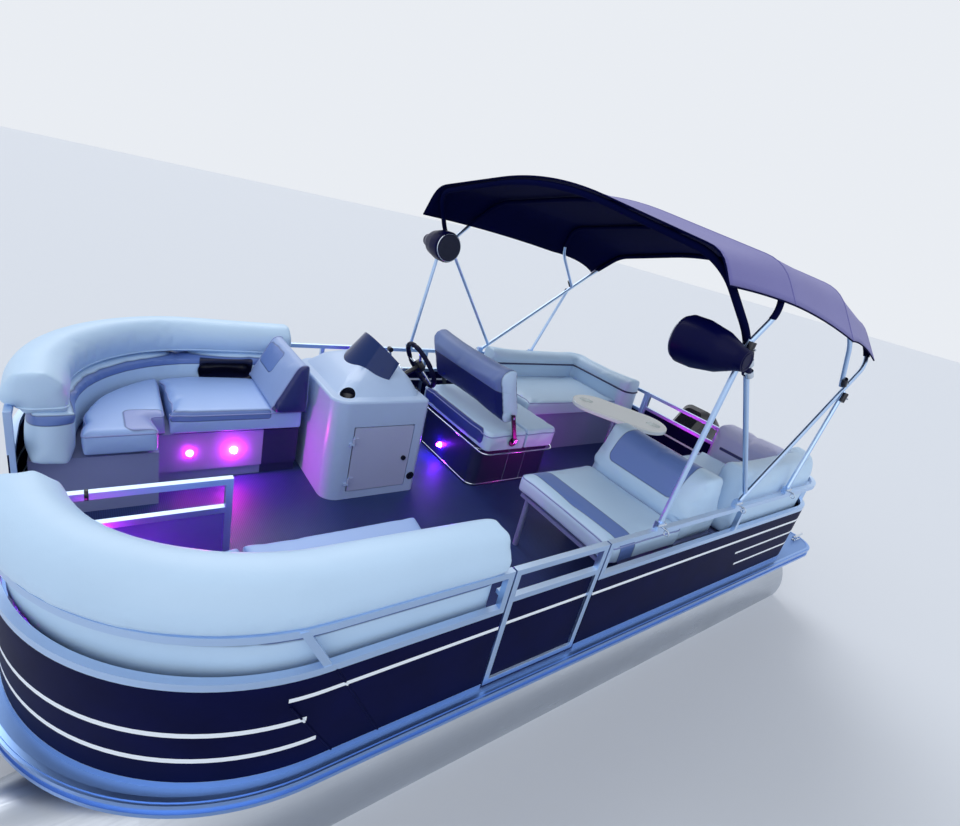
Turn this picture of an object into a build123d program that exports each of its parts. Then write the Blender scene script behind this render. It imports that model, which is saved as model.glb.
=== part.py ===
# Pontoon boat. Sizes in millimetres, laid out with X forward from the aft rail,
# Y to port and Z up from the deck's top; the last lines move it onto its floor.
from build123d import *
import math
import os

os.makedirs("parts", exist_ok=True)

# The deck and its fence
DECK_AFT, DECK_FRONT, DECK_HALF = -330, 4300, 1275
DECK_BOW_R, DECK_AFT_R = 830, 120
FENCE_FRONT, FENCE_HALF = 4250, 1245
BOW_R, AFT_R = 800, 250
TUBE = 26
RAIL_TOP, RAIL_MID, RAIL_LOW = 560, 394, 0
CAP = RAIL_TOP + TUBE
DECK_T, CHANNEL_H, RISER_H = 28, 75, 22
SIDE_GATE = (2255, 2785)
BOW_GATE = (-225, 455)
AFT_GATE = (-285, 455)

# The tubes under it
PIPE_R, PIPE_Y, KEEL_H = 305, 920, 20
PIPE_Z = -DECK_T - CHANNEL_H - RISER_H - PIPE_R
PIPE_AFT, NOSE_FROM, NOSE_TIP = -300, 3700, 4420
FLOOR = PIPE_Z - PIPE_R - KEEL_H
MID_X = 1591.652

# Seats: the gap from the fence, depth of a back, heights of bases, seats and backs
WALL, BACK = 34, 190
SEAT_H, BASE_H = 450, 330
BOW_SEAT_H, BOW_BASE_H = 425, 295
BOLSTER_TOP, AFT_TOP = 745, 665
BOW_IN_PORT, BOW_IN_STARBOARD, BOW_IN_FORE = 640, -480, -300
CHAISE_X = 2955
HELM = (-850, 20)
CONSOLE = (2345, 2935)
CONSOLE_Y = (-860, -150)
CONSOLE_H = 625

nodes = {}


def box(x, y, z):
    """A box from three pairs of limits."""
    size = [b - a for a, b in (x, y, z)]
    mid = [(a + b) / 2 for a, b in (x, y, z)]
    return Pos(*mid) * Box(*size)


def rounded(solid, radius, axis=Axis.Z):
    return fillet(solid.edges().filter_by(axis), radius)


def topped(solid, radius):
    """A solid with the edge round its top softened."""
    return fillet(solid.faces().sort_by(Axis.Z)[-1].edges(), radius)


def plan(d, x0=0, x1=FENCE_FRONT, half=FENCE_HALF, front=BOW_R, aft=AFT_R):
    """The fence's outline from above, let out by d."""
    face = Pos((x0 + x1) / 2, 0) * Rectangle(x1 - x0 + 2 * d, 2 * (half + d))
    ends = face.vertices().sort_by(Axis.X)
    face = fillet(ends[-2:], front + d)
    ends = face.vertices().filter_by(lambda v: v.X < x0 - d + 1)
    return fillet(ends, aft + d)


def deck_plan(d):
    """The deck's outline from above, let out by d."""
    return plan(d, DECK_AFT, DECK_FRONT, DECK_HALF, DECK_BOW_R, DECK_AFT_R)


def ring(outer, inner, z0, z1):
    """A band that follows the fence between two offsets."""
    return Pos(0, 0, z0) * extrude(plan(outer) - plan(inner), z1 - z0)


def rod(a, b, r):
    a, b = Vector(*a), Vector(*b)
    return extrude(Plane(origin=a, z_dir=b - a) * Circle(r), (b - a).length)


def side(points, y0, y1):
    """A side outline of (x, z) points drawn out from y0 to y1."""
    face = make_face(Polyline([(x, 0, z) for x, z in points], close=True))
    solid = extrude(face, y1 - y0, dir=(0, 1, 0))
    return Pos(0, y0, 0) * solid


def padded_side(points, radii, y0, y1, end):
    """A side outline whose corners and ends are rounded, as a stuffed back is."""
    solid = side(points, y0, y1)
    for (x, z), r in zip(points, radii):
        if r:
            edge = [e for e in solid.edges().filter_by(Axis.Y) if abs(e.center().X - x) < 0.5 and abs(e.center().Z - z) < 0.5]
            solid = fillet(edge, r)
    for face in (solid.faces().sort_by(Axis.Y)[0], solid.faces().sort_by(Axis.Y)[-1]):
        solid = fillet([e for e in solid.edges() if abs(e.center().Y - face.center().Y) < 0.5], end)
    return solid


def join(*solids):
    out = solids[0]
    for s in solids[1:]:
        out = out + s
    return out


def outline(points, radii):
    """A closed outline of (out from the fence, up) points, corners rounded by radii."""
    face = make_face(Polyline([(a, b) for a, b in points], close=True))
    for (a, b), r in zip(points, radii):
        if r:
            near = face.vertices().sort_by_distance((a, b, 0))[0]
            face = fillet([near], r)
    return face


def carry(face, aft_x, inner_y, corner=BOW_R):
    """Carries an outline forward along the port rail from aft_x, round the corner
    and across the end to inner_y."""
    bend_x, bend_y = FENCE_FRONT - corner, FENCE_HALF - corner
    along = dict(x_dir=(0, 1, 0), z_dir=(1, 0, 0))
    out = extrude(Plane(origin=(aft_x, FENCE_HALF, 0), **along) * face, bend_x - aft_x)
    start = Plane(origin=(bend_x, FENCE_HALF, 0), **along)
    out = out + revolve(start * face, Axis((bend_x, bend_y, 0), (0, 0, 1)), -90)
    if inner_y > bend_y - 1:
        return out
    across = Plane(origin=(FENCE_FRONT, bend_y, 0), x_dir=(1, 0, 0), z_dir=(0, -1, 0))
    return out + extrude(across * face, bend_y - inner_y)


def swap_ends(solid):
    """The same piece at the aft end of the fence."""
    return Pos(FENCE_FRONT, 0, 0) * mirror(solid, Plane.YZ)


def bent(points, radii):
    """A path of straight runs joined by arcs at its inner points."""
    pts = [Vector(*p) for p in points]
    edges, last = [], pts[0]
    for a, b, c, r in zip(pts, pts[1:], pts[2:], radii):
        u, w = (b - a).normalized(), (c - b).normalized()
        half = math.acos(max(-1, min(1, u.dot(w)))) / 2
        cut = min(r * math.tan(half), 0.48 * (b - a).length, 0.48 * (c - b).length)
        r = cut / math.tan(half)
        p, q = b - u * cut, b + w * cut
        inward = (w - u).normalized()
        mid = b + inward * (r / math.cos(half) - r)
        edges += [Line(last, p), ThreePointArc(p, mid, q)]
        last = q
    edges.append(Line(last, pts[-1]))
    return Wire(edges)


def pipe(points, radii, r=12.5):
    path = bent(points, radii)
    return sweep(Plane(origin=path @ 0, z_dir=path % 0) * Circle(r), path=path)


def to_starboard(solid):
    return mirror(solid, Plane.XZ)


# Hull: two sealed tubes with rising nose cones, keels, risers and lifting strakes
# nose sections: share of the nose's length, radius, rise of the centre
NOSE = ((0, 1, 0), (0.3, 0.95, 0.05), (0.56, 0.81, 0.17), (0.78, 0.59, 0.38), (0.93, 0.34, 0.6), (1, 0.13, 0.74))
for name, s in (("tube_port", 1), ("tube_starboard", -1)):
    y = s * PIPE_Y
    tube = rod((PIPE_AFT, y, PIPE_Z), (NOSE_FROM, y, PIPE_Z), PIPE_R)
    faces = [Plane(origin=(NOSE_FROM + t * (NOSE_TIP - NOSE_FROM), y, PIPE_Z + up * PIPE_R), z_dir=(1, 0, 0)) * Circle(k * PIPE_R)
             for t, k, up in NOSE]
    keel = box((PIPE_AFT + 40, NOSE_FROM), (y - 20, y + 20), (PIPE_Z - PIPE_R - KEEL_H, PIPE_Z - PIPE_R + 6))
    riser = box((PIPE_AFT + 60, NOSE_FROM + 20), (y - 60, y + 60), (PIPE_Z + PIPE_R - 8, PIPE_Z + PIPE_R + RISER_H))
    hull = join(tube, loft(faces, ruled=True), keel, riser)
    for turn in (-38, 218):
        cy, cz = y + PIPE_R * math.cos(math.radians(turn)), PIPE_Z + PIPE_R * math.sin(math.radians(turn))
        hull = hull + Pos((PIPE_AFT + NOSE_FROM) / 2, cy, cz) * Rot(turn, 0, 0) * Box(NOSE_FROM - PIPE_AFT - 400, 50, 26)
    nodes[name] = hull

# Cross members: open channels under the deck, trimmed to its outline
BEAMS, BEAM_STEP = 11, 420
inside = Pos(0, 0, -DECK_T - CHANNEL_H - 5) * extrude(deck_plan(-45), CHANNEL_H + 10)
channel = None
for i in range(BEAMS):
    x = DECK_AFT + 130 + i * BEAM_STEP
    beam = box((x - 25, x + 25), (-DECK_HALF, DECK_HALF), (-DECK_T - CHANNEL_H, -DECK_T))
    beam = beam - box((x - 19, x + 30), (-DECK_HALF - 1, DECK_HALF + 1), (-DECK_T - CHANNEL_H + 6, -DECK_T - 6))
    beam = beam & inside
    channel = beam if channel is None else channel + beam
nodes["cross_members"] = channel

pod = side(((-330, -DECK_T - CHANNEL_H), (900, -DECK_T - CHANNEL_H), (620, -430), (-300, -560), (-330, -560)), -260, 260)
nodes["motor_pod"] = pod + rounded(box((-372, -330), (-230, 230), (-520, -40)), 40, Axis.X)

nodes["deck"] = Pos(0, 0, -DECK_T) * extrude(deck_plan(0), DECK_T)
rail = Pos(0, 0, -64) * extrude(deck_plan(14) - deck_plan(0), 66)
for z in (-58, -18):
    rail = rail + Pos(0, 0, z) * extrude(deck_plan(22) - deck_plan(0), 16)
nodes["rub_rail"] = rail - box((DECK_AFT - 60, DECK_AFT + 20), (-232, 232), (-80, 20))

# Fence: rails at three heights, cut at the gates, with posts behind thin outer panels
half_t = TUBE / 2
SKIN = (7, 12.5)
SPAN = FENCE_HALF + 150
rails = [ring(half_t, -half_t, z, z + TUBE) for z in (RAIL_TOP, RAIL_MID, RAIL_LOW)]
skin = ring(SKIN[1], SKIN[0], RAIL_LOW + TUBE, RAIL_MID)
notch = ring(half_t + 2, SKIN[0], RAIL_LOW + TUBE, RAIL_MID)
gaps = [
    box(SIDE_GATE, (SPAN - 300, SPAN), (-10, CAP + 200)),
    box((FENCE_FRONT - 250, FENCE_FRONT + 150), BOW_GATE, (-10, CAP + 200)),
    box((-100, 100), AFT_GATE, (-10, CAP + 200)),
]
parts_of = {
    "fence_bow_port": box((SIDE_GATE[1], FENCE_FRONT + 150), (BOW_GATE[1], SPAN), (-10, CAP + 200)),
    "fence_aft_port": box((-100, SIDE_GATE[0]), (AFT_GATE[1], SPAN), (-10, CAP + 200)),
    "fence_starboard": box((-100, FENCE_FRONT + 150), (-SPAN, -200), (-10, CAP + 200)),
}
# posts: along the boat, across it, turn; the aft corner ones stand halfway round the bend
aft_in = AFT_R * (1 - math.sqrt(0.5))
aft_post = (aft_in, FENCE_HALF - aft_in, -45)
posts = {
    "fence_bow_port": ((SIDE_GATE[1] + half_t, FENCE_HALF, 0), (FENCE_FRONT, BOW_GATE[1] + half_t, 0)),
    "fence_aft_port": ((SIDE_GATE[0] - half_t, FENCE_HALF, 0), (1110, FENCE_HALF, 0), aft_post, (0, AFT_GATE[1] + half_t, 0)),
    "fence_starboard": ((0, AFT_GATE[0] - half_t, 0), (aft_post[0], -aft_post[1], 45), (900, -FENCE_HALF, 0), (1750, -FENCE_HALF, 0),
                        (2620, -FENCE_HALF, 0), (FENCE_FRONT, BOW_GATE[0] - half_t, 0)),
}
# a bar slopes down and aft on each bow side: its foot and head along the boat
SLOPE = (3220, 3530)
slope = ((SLOPE[0], 0), (SLOPE[0] + TUBE, 0), (SLOPE[1] + TUBE, CAP - 6), (SLOPE[1], CAP - 6))
for name, zone in parts_of.items():
    frame = join(*[(r - gaps[0] - gaps[1] - gaps[2]) & zone for r in rails])
    for x, y, turn in posts[name]:
        slim = 1 if turn else 0
        frame = frame + (Pos(x, y, CAP / 2) * Rot(0, 0, turn) * Box(TUBE - slim, TUBE - slim, CAP - slim) - notch)
    if name != "fence_aft_port":
        s = 1 if name == "fence_bow_port" else -1
        frame = frame + (side(slope, s * FENCE_HALF - half_t + 2, s * FENCE_HALF + half_t - 2) - notch)
    nodes[name] = frame
sheets = skin
for g in gaps:
    sheets = sheets - g
for name in parts_of:
    sheets = sheets - nodes[name]
nodes["fence_panels"] = sheets

HINGE_IN, HINGE_END, PIN_R = 27, 4, 6
HINGE_Z = (130, 490)


def gate(length, out):
    """A gate along +X from its hinge axis, its frame on the side out (1 or -1)."""
    y = HINGE_IN * out
    g = box((4, 4 + TUBE), (y - half_t, y + half_t), (12, CAP))
    g = g + box((4 + length - TUBE, 4 + length), (y - half_t, y + half_t), (12, CAP))
    for z in (RAIL_TOP, RAIL_MID + 40, 12):
        g = g + box((4, 4 + length), (y - half_t, y + half_t), (z, z + TUBE))
    g = g + box((4 + half_t, 4 + length - half_t), (y - 3, y + 3), (30, RAIL_MID + 50))
    for z in HINGE_Z:
        leaf = sorted((0, 14 * out))
        g = g + Pos(0, 0, z + 8) * Cylinder(10, 38) + box((3, 28), leaf, (z - 11, z + 27))
        g = g - Pos(0, 0, z) * Cylinder(PIN_R + 0.3, 90)
    return g


def gate_pins(out):
    """The pins and lugs on the post that carry that gate, about the same axis."""
    pins = None
    for z in HINGE_Z:
        ears = [sorted((-9 * out, 9 * out)), sorted((-6 * out, 14 * out))]
        p = Pos(0, 0, z) * Cylinder(PIN_R, 60) + box((-9, 9), ears[0], (z - 30, z - 11.4)) + box((-28, 2), ears[1], (z - 30, z - 11.4))
        pins = p if pins is None else pins + p
    return pins


# gate: hinge x and y, length, the way it lies at rest, closed way, side of its frame, post's node
gates = {
    "side_gate": (SIDE_GATE[1] - 4, FENCE_HALF - HINGE_IN, SIDE_GATE[1] - SIDE_GATE[0] - 16, 180, 180, -1, "fence_bow_port"),
    "bow_gate": (FENCE_FRONT - HINGE_IN, BOW_GATE[1] - 4, BOW_GATE[1] - BOW_GATE[0] - 16, 180, -90, 1, "fence_bow_port"),
    "aft_gate": (HINGE_IN, AFT_GATE[1] - 4, AFT_GATE[1] - AFT_GATE[0] - 16, -90, -90, -1, "fence_aft_port"),
}
for name, (x, y, length, rest, closed, out, post) in gates.items():
    nodes[name] = Pos(x, y, 0) * Rot(0, 0, rest) * gate(length, out)
    nodes[post] = nodes[post] + Pos(x, y, 0) * Rot(0, 0, closed) * gate_pins(out)

# Bow lounges: bases and seats fill each corner, and a stuffed roll on a thinner pad
# is carried along the rail and round the bow
inner_all = extrude(plan(-WALL - 4), 1000)
seat_all = extrude(plan(-WALL - BACK - 4), 1000)
toe = extrude(plan(-WALL - 4), 70)
roll = outline(
    ((-BACK, BOW_BASE_H), (-WALL, BOW_BASE_H), (-WALL, CAP), (22, CAP), (26, CAP + 64), (-30, BOLSTER_TOP),
     (-140, BOLSTER_TOP), (-BACK - 15, BOLSTER_TOP - 65), (-BACK - 15, CAP - 26), (-BACK, CAP - 81)),
    (0, 0, 0, 12, 30, 40, 50, 40, 25, 0))
# side, inner edge of the seat, aft end of the seat, aft end and inner end of the back
lounges = (("port", BOW_IN_PORT, 2850, 2810, BOW_GATE[1] + TUBE + 4), ("starboard", BOW_IN_STARBOARD, CHAISE_X + 30, 2890, BOW_GATE[0] - 30))
for name, inner, seat_x, back_x, back_y in lounges:
    port = name == "port"
    tall = (0, BOW_BASE_H)
    if port:
        base = inner_all & box((seat_x, FENCE_FRONT), (inner + 40, SPAN), tall)
        base = base - (box((seat_x - 1, FENCE_FRONT), (inner, inner + 65), (-1, 70)))
        seat = seat_all & box((seat_x, FENCE_FRONT), (inner, SPAN), (BOW_BASE_H, BOW_SEAT_H))
        back = carry(roll, back_x, back_y)
        back = back - box((3450, FENCE_FRONT + 100), (BOW_GATE[0], back_y), (0, 1000))
    else:
        fore_x = 3720
        base = inner_all & (box((seat_x, FENCE_FRONT), (-SPAN, inner - 40), tall) + box((fore_x, FENCE_FRONT), (-SPAN, BOW_IN_FORE - 40), tall))
        base = base - box((seat_x - 1, fore_x), (inner - 65, inner), (-1, 70))
        aft_cut = box((seat_x, fore_x), (-SPAN, inner), (BOW_BASE_H, BOW_SEAT_H))
        fore_cut = box((fore_x, FENCE_FRONT), (-SPAN, BOW_IN_FORE), (BOW_BASE_H, BOW_SEAT_H))
        seat = seat_all & (aft_cut + fore_cut)
        back = to_starboard(carry(roll, back_x, -back_y))
    aft_end = back.faces().filter_by(Axis.X).sort_by(Axis.X)[0]
    nodes["bow_base_" + name] = base
    nodes["bow_seat_" + name] = topped(seat, 22)
    nodes["bow_back_" + name] = fillet(aft_end.edges(), 14)
# The pad under the starboard roll stops short, and a panel shows behind
nodes["bow_back_starboard"] = nodes["bow_back_starboard"] - box((3150, 3450), (-FENCE_HALF + WALL + 40, -FENCE_HALF + 400), (BOW_SEAT_H, CAP - 86))

CHAISE = (-1030, -440)
nodes["chaise_back"] = padded_side(
    ((CHAISE_X + 215, BOW_SEAT_H), (CHAISE_X + 60, 705), (CHAISE_X, 705), (CHAISE_X, BOW_SEAT_H)), (0, 45, 14, 0), *CHAISE, 20)
chaise_foot = box((CHAISE_X, CHAISE_X + 30), (CHAISE[0] + 20, CHAISE[1] - 20), (0, BOW_SEAT_H))
nodes["chaise_back"] = nodes["chaise_back"] + chaise_foot

# Helm: a moulded console with a raised instrument hump and a locker behind its door
face = Pos(sum(CONSOLE) / 2, sum(CONSOLE_Y) / 2) * Rectangle(CONSOLE[1] - CONSOLE[0], CONSOLE_Y[1] - CONSOLE_Y[0])
face = fillet(face.vertices().sort_by(Axis.X)[-2:], 100)
face = fillet(face.vertices().sort_by(Axis.X)[:2], 30)
console = topped(extrude(face, CONSOLE_H), 16)
# hump sections: height over the console's top, x limits, y limits, corner radius
hump = ((-15, 2367, 2905, -846, -190, 70), (60, 2395, 2800, -810, -305, 70), (105, 2430, 2690, -740, -415, 60))
faces = [Pos((x0 + x1) / 2, (y0 + y1) / 2, CONSOLE_H + z) * RectangleRounded(x1 - x0, y1 - y0, r) for z, x0, x1, y0, y1, r in hump]
console = console + loft(faces, ruled=True)
console = console - Pos(2835, CONSOLE_Y[1] - 95, CONSOLE_H) * Cylinder(42, 130)
DOOR_X, DOOR_W = 2804, 380
side_y = CONSOLE_Y[1]
console = console - box((DOOR_X - DOOR_W - 2, DOOR_X + 2), (side_y - 490, side_y + 10), (50, 470))
DOOR_AXIS = (DOOR_X, side_y + 12)
door = rounded(box((DOOR_X - DOOR_W + 4, DOOR_X - 4), (side_y - 22, side_y + 4), (56, 464)), 8, Axis.Y)
door = door + Pos(DOOR_X - DOOR_W + 40, side_y + 9, 249) * Rot(90, 0, 0) * Cylinder(15, 10)
for z in (130, 390):
    knuckle = Pos(*DOOR_AXIS, z) * Cylinder(7, 30) + box((DOOR_X - 30, DOOR_X), (side_y + 3, side_y + 11), (z - 15, z + 15))
    door = door + knuckle - Pos(*DOOR_AXIS, z) * Cylinder(4.3, 60)
    lug = Pos(*DOOR_AXIS, z) * Cylinder(4, 56) + box((DOOR_X, DOOR_X + 22), (side_y - 1, side_y + 15), (z - 28, z - 15.4)) + Pos(*DOOR_AXIS, z - 21.7) * Cylinder(7, 12.6)
    console = console + lug
nodes["console_door"] = door

# Windscreen: the front of a thin cone that leans aft, trimmed lower at its two ends
# rows: height over the console, centre along the boat, radius
HOOD_Y = -562
HOOD = ((40, 2506, 262), (261, 2420, 186))
cone = [Pos(x, HOOD_Y, CONSOLE_H + z) * Circle(r) for z, x, r in HOOD]
core = [Pos(x, HOOD_Y, CONSOLE_H + z) * Circle(r - 7) for z, x, r in HOOD]
trim = ((2590, 640), (2800, 640), (2800, 800), (2606, 886), (2492, 782))
screen = loft(cone, ruled=True) - loft(core, ruled=True)
nodes["windscreen"] = screen & side(trim, HOOD_Y - 300, HOOD_Y + 300)

WHEEL_R = 150
WHEEL = Plane(origin=(2262, -470, 730), z_dir=(-0.86, 0, 0.5))
wheel = WHEEL * Torus(WHEEL_R, 14)
for a in (90, 210, 330):
    end = (WHEEL_R * math.cos(math.radians(a)), WHEEL_R * math.sin(math.radians(a)), 0)
    wheel = wheel + WHEEL * rod((0, 0, -12), end, 9)
wheel = wheel + WHEEL * (Pos(0, 0, -12) * Cylinder(42, 34)) + WHEEL * rod((0, 0, -200), (0, 0, -20), 16)
nodes["steering_wheel"] = wheel
nodes["console"] = console - WHEEL * rod((0, 0, -215), (0, 0, 0), 16.3)

nodes["helm_base"] = rounded(box((1270, 1950), (HELM[0] + 50, HELM[1] - 110), (0, 300)), 70)
seat = topped(rounded(box((1350, 1975), HELM, (300, SEAT_H)), 60), 32)
PIVOT = (1760, 400)
lean = 20.6
roll_back = box((-70, 70), HELM, (135, 500))
roll_back = fillet(roll_back.edges().filter_by(Axis.Y), 58)
roll_back = fillet(roll_back.faces().filter_by(Axis.Y).edges(), 14)
arms = None
for y in (HELM[0] - 12, HELM[1] + 12):
    arm = box((-14, 14), (y - 5, y + 5), (-18, 330)) - Pos(0, y, 0) * Rot(90, 0, 0) * Cylinder(8.3, 20)
    arms = arm if arms is None else arms + arm
arms = arms + box((-12, 12), (HELM[0] - 12, HELM[1] + 12), (300, 320))
nodes["helm_back"] = Pos(PIVOT[0], 0, PIVOT[1]) * Rot(0, lean, 0) * (roll_back + arms)
for y0, y1 in ((HELM[0] - 20, HELM[0] + 10), (HELM[1] - 10, HELM[1] + 20)):
    seat = seat + rod((PIVOT[0], y0, PIVOT[1]), (PIVOT[0], y1, PIVOT[1]), 8)
nodes["helm_seat"] = seat

# Port bench, open under its seat
BENCH_Z = BASE_H + 8
legs = box((1520, 2060), (500, 1120), (BENCH_Z - 20, BENCH_Z))
for x in (1560, 2020):
    for y in (530, 1090):
        legs = legs + rod((x, y, 0), (x, y, BENCH_Z - 18), 16)
nodes["bench_frame"] = legs + box((1130, 1500), (480, 1150), (0, BASE_H))
nodes["bench_seat"] = topped(rounded(box((1500, 2085), (470, 1170), (BENCH_Z, SEAT_H + 8)), 45), 30)
upper = padded_side(((1516, SEAT_H + 10), (1392, 715), (1243, 715), (1116, SEAT_H + 10)), (14, 55, 55, 14), 430, 1175, 22)
nodes["bench_back"] = upper + box((1122, 1498), (440, 1165), (BASE_H, SEAT_H + 60))

# Table
TABLE = (1000, 190, 622)
nodes["table_post"] = rod((TABLE[0], TABLE[1], 12), TABLE, 30) + rod((TABLE[0], TABLE[1], 0), (TABLE[0], TABLE[1], 16), 120)
top = extrude(SlotOverall(680, 350), 30)
top = fillet(top.faces().filter_by(Axis.Z).edges(), 8)
for d in (-245, 245):
    top = top - Pos(d, 0, 12) * Cylinder(48, 40, align=(Align.CENTER, Align.CENTER, Align.MIN))
nodes["table_top"] = Pos(*TABLE) * Rot(0, 0, 118) * top

# Aft seats: the port one has a back across the stern and a tall roll in the corner,
# the starboard one wraps its corner
tall_roll = outline(((-230, BASE_H), (-WALL, BASE_H), (-WALL, 750), (-230, 750)), (0, 0, 62, 72))
low_roll = outline(((-205, BASE_H), (-WALL, BASE_H), (-WALL, AFT_TOP), (-205, AFT_TOP)), (0, 0, 50, 60))
stern = 230
nodes["aft_base_port"] = inner_all & box((60, 1112), (540, SPAN), (0, BASE_H))
nodes["aft_seat_port"] = topped(box((stern + 24, 1112), (500, FENCE_HALF - 234), (BASE_H, SEAT_H)), 25)
bolster = swap_ends(carry(tall_roll, FENCE_FRONT - 1112, FENCE_HALF - AFT_R, AFT_R))
end = bolster.faces().filter_by(Axis.X).sort_by(Axis.X)[-1]
nodes["aft_bolster_port"] = fillet(end.edges(), 20)
back = box((WALL, stern), (500, FENCE_HALF - AFT_R - 4), (BASE_H, AFT_TOP + 20))
nodes["aft_back_port"] = fillet(back.faces().sort_by(Axis.Z)[-1].edges(), 50)
nodes["aft_base_starboard"] = inner_all & box((60, 1240), (-SPAN, -470), (0, BASE_H))
nodes["aft_seat_starboard"] = topped(extrude(plan(-209), 1000) & box((213, 1250), (-SPAN, -430), (BASE_H, SEAT_H)), 25)
wrap = to_starboard(swap_ends(carry(low_roll, FENCE_FRONT - 1240, 330, AFT_R)))
end = wrap.faces().filter_by(Axis.X).sort_by(Axis.X)[-1]
nodes["aft_back_starboard"] = fillet(end.edges(), 16)

# Canopy: bows of bent tube, arched across, the same on both sides
# bow: foot, knee at the hem, shoulder and crown of the arch (x, y, z)
bows = {
    "canopy_rear_bow": ((1213, FENCE_HALF - 2, CAP + 14), (147, FENCE_HALF - 60, 1427), (60, FENCE_HALF - 227, 1612), (40, 0, 1848)),
    "canopy_front_bow": ((1152, FENCE_HALF - 11, CAP + 78), (1815, FENCE_HALF - 23, 1520), (1985, FENCE_HALF - 147, 1775), (2000, 0, 1972)),
    "mid_f": ((1768, FENCE_HALF - 39, 1440), (1560, FENCE_HALF - 39, 1650), (1480, FENCE_HALF - 177, 1802), (1460, 0, 1976)),
    "mid_e": ((388, FENCE_HALF - 65, 1262), (620, FENCE_HALF - 55, 1560), (690, FENCE_HALF - 197, 1755), (700, 0, 1942)),
}
made = {}
for name, pts in bows.items():
    whole = list(pts) + [(x, -y, z) for x, y, z in pts[-2::-1]]
    made[name] = pipe(whole, (300, 230, 2600, 230, 300))


def saddle(x):
    """The clamp on the top rail that holds a bow's or brace's foot."""
    block = rounded(box((x - 23, x + 23), (FENCE_HALF - 18, FENCE_HALF + 14), (CAP, CAP + 40)), 6)
    return block + to_starboard(block)


nodes["canopy_rear_bow"] = made["canopy_rear_bow"] + saddle(1213)
nodes["canopy_front_bow"] = made["canopy_front_bow"]
nodes["canopy_mid_bows"] = made["mid_f"] + made["mid_e"]
braces = None
for foot, head in (((1914, FENCE_HALF - 2, CAP + 14), (1800, FENCE_HALF - 5, 1500)), ((620, FENCE_HALF - 2, CAP + 14), (392, FENCE_HALF - 35, 1236))):
    one = rod(foot, head, 12.5)
    one = one + to_starboard(one) + saddle(foot[0])
    braces = one if braces is None else braces + one
nodes["canopy_braces"] = braces


def band(x, hem, shoulder, crown, t=6):
    """A cross section of the cloth at x, a thin closed band of lines and arcs."""
    (hy, hz), (sy, sz) = hem, shoulder
    outer = [(hy, hz), (sy, sz), (0, crown), (-sy, sz), (-hy, hz)]
    inner = [(hy - t, hz), (sy - t, sz - t), (0, crown - t), (t - sy, sz - t), (t - hy, hz)]
    wires = [bent([(x, a, b) for a, b in pts], (k, 10 * k, k)) for pts, k in ((outer, 240), (inner, 236))]
    ends = [Line((x, s * hy, hz), (x, s * (hy - t), hz)) for s in (1, -1)]
    return make_face(Wire(list(wires[0].edges()) + [ends[1]] + list(wires[1].edges()) + [ends[0]]))


# cloth sections: x, hem (y, z), shoulder (y, z), crown
cloth = (
    (60, (FENCE_HALF - 39, 1440), (FENCE_HALF - 225, 1638), 1870),
    (690, (FENCE_HALF - 23, 1545), (FENCE_HALF - 187, 1774), 1957),
    (1470, (FENCE_HALF - 9, 1610), (FENCE_HALF - 162, 1827), 1996),
    (2010, (FENCE_HALF - 5, 1590), (FENCE_HALF - 145, 1803), 1994),
)
sheet = loft([band(*row) for row in cloth], ruled=True)
# the hems are cut to hollow curves: from section, to section, depth
for a, b, deep in ((0, 1, 45), (1, 3, 78)):
    (xa, (_, za), *_), (xb, (_, zb), *_) = cloth[a], cloth[b]
    chord, lean_z = math.hypot(xb - xa, zb - za), math.atan2(zb - za, xb - xa)
    r = (chord * chord / 4 + deep * deep) / (2 * deep)
    cx = (xa + xb) / 2 + (r - deep) * math.sin(lean_z)
    cz = (za + zb) / 2 - (r - deep) * math.cos(lean_z)
    sheet = sheet - rod((cx, -SPAN, cz), (cx, SPAN, cz), r)
nodes["canopy_cloth"] = sheet

# Speaker pods: a bullet turned about its athwart axis, on an arm with a collar
# round the front bow
POD = (1890, 1425)
profile = ((0, 1000), (98, 1000), (108, 1020), (108, 1090), (88, 1190), (52, 1270), (44, 1305), (0, 1305))
bullet = revolve(make_face(Polyline([(a, b, 0) for a, b in profile], close=True)), Axis.Y)
foot, knee = [Vector(*p) for p in bows["canopy_front_bow"][:2]]
hold = foot + (knee - foot) * ((POD[1] - 60 - foot.Z) / (knee.Z - foot.Z))
along = (knee - foot).normalized()
collar = rod(hold - along * 25, hold + along * 25, 20)
arm = rod((POD[0], 1180, POD[1]), (hold.X, hold.Y - 12, hold.Z), 10)
pod = Pos(POD[0], 0, POD[1]) * bullet + arm + collar
nodes["speakers"] = pod + to_starboard(pod)

# Small fittings: horn cleats, each a foot, two stems and a bar with raised ends
cleat = None
for x, y, turn in ((DECK_AFT + 70, DECK_HALF - 95, 0), (DECK_AFT + 70, -DECK_HALF + 95, 0), (DECK_FRONT - 17, 345, 90), (DECK_FRONT - 17, -345, 90)):
    one = box((-46, 46), (-12, 12), (0, 6)) + rod((-22, 0, 5), (-20, 0, 30), 8) + rod((22, 0, 5), (20, 0, 30), 8)
    one = one + rod((-40, 0, 30), (40, 0, 30), 9) + rod((-75, 0, 36), (-38, 0, 30), 7) + rod((38, 0, 30), (75, 0, 36), 7)
    one = Pos(x, y, 0) * Rot(0, 0, turn) * one
    cleat = one if cleat is None else cleat + one
nodes["cleats"] = cleat
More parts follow.
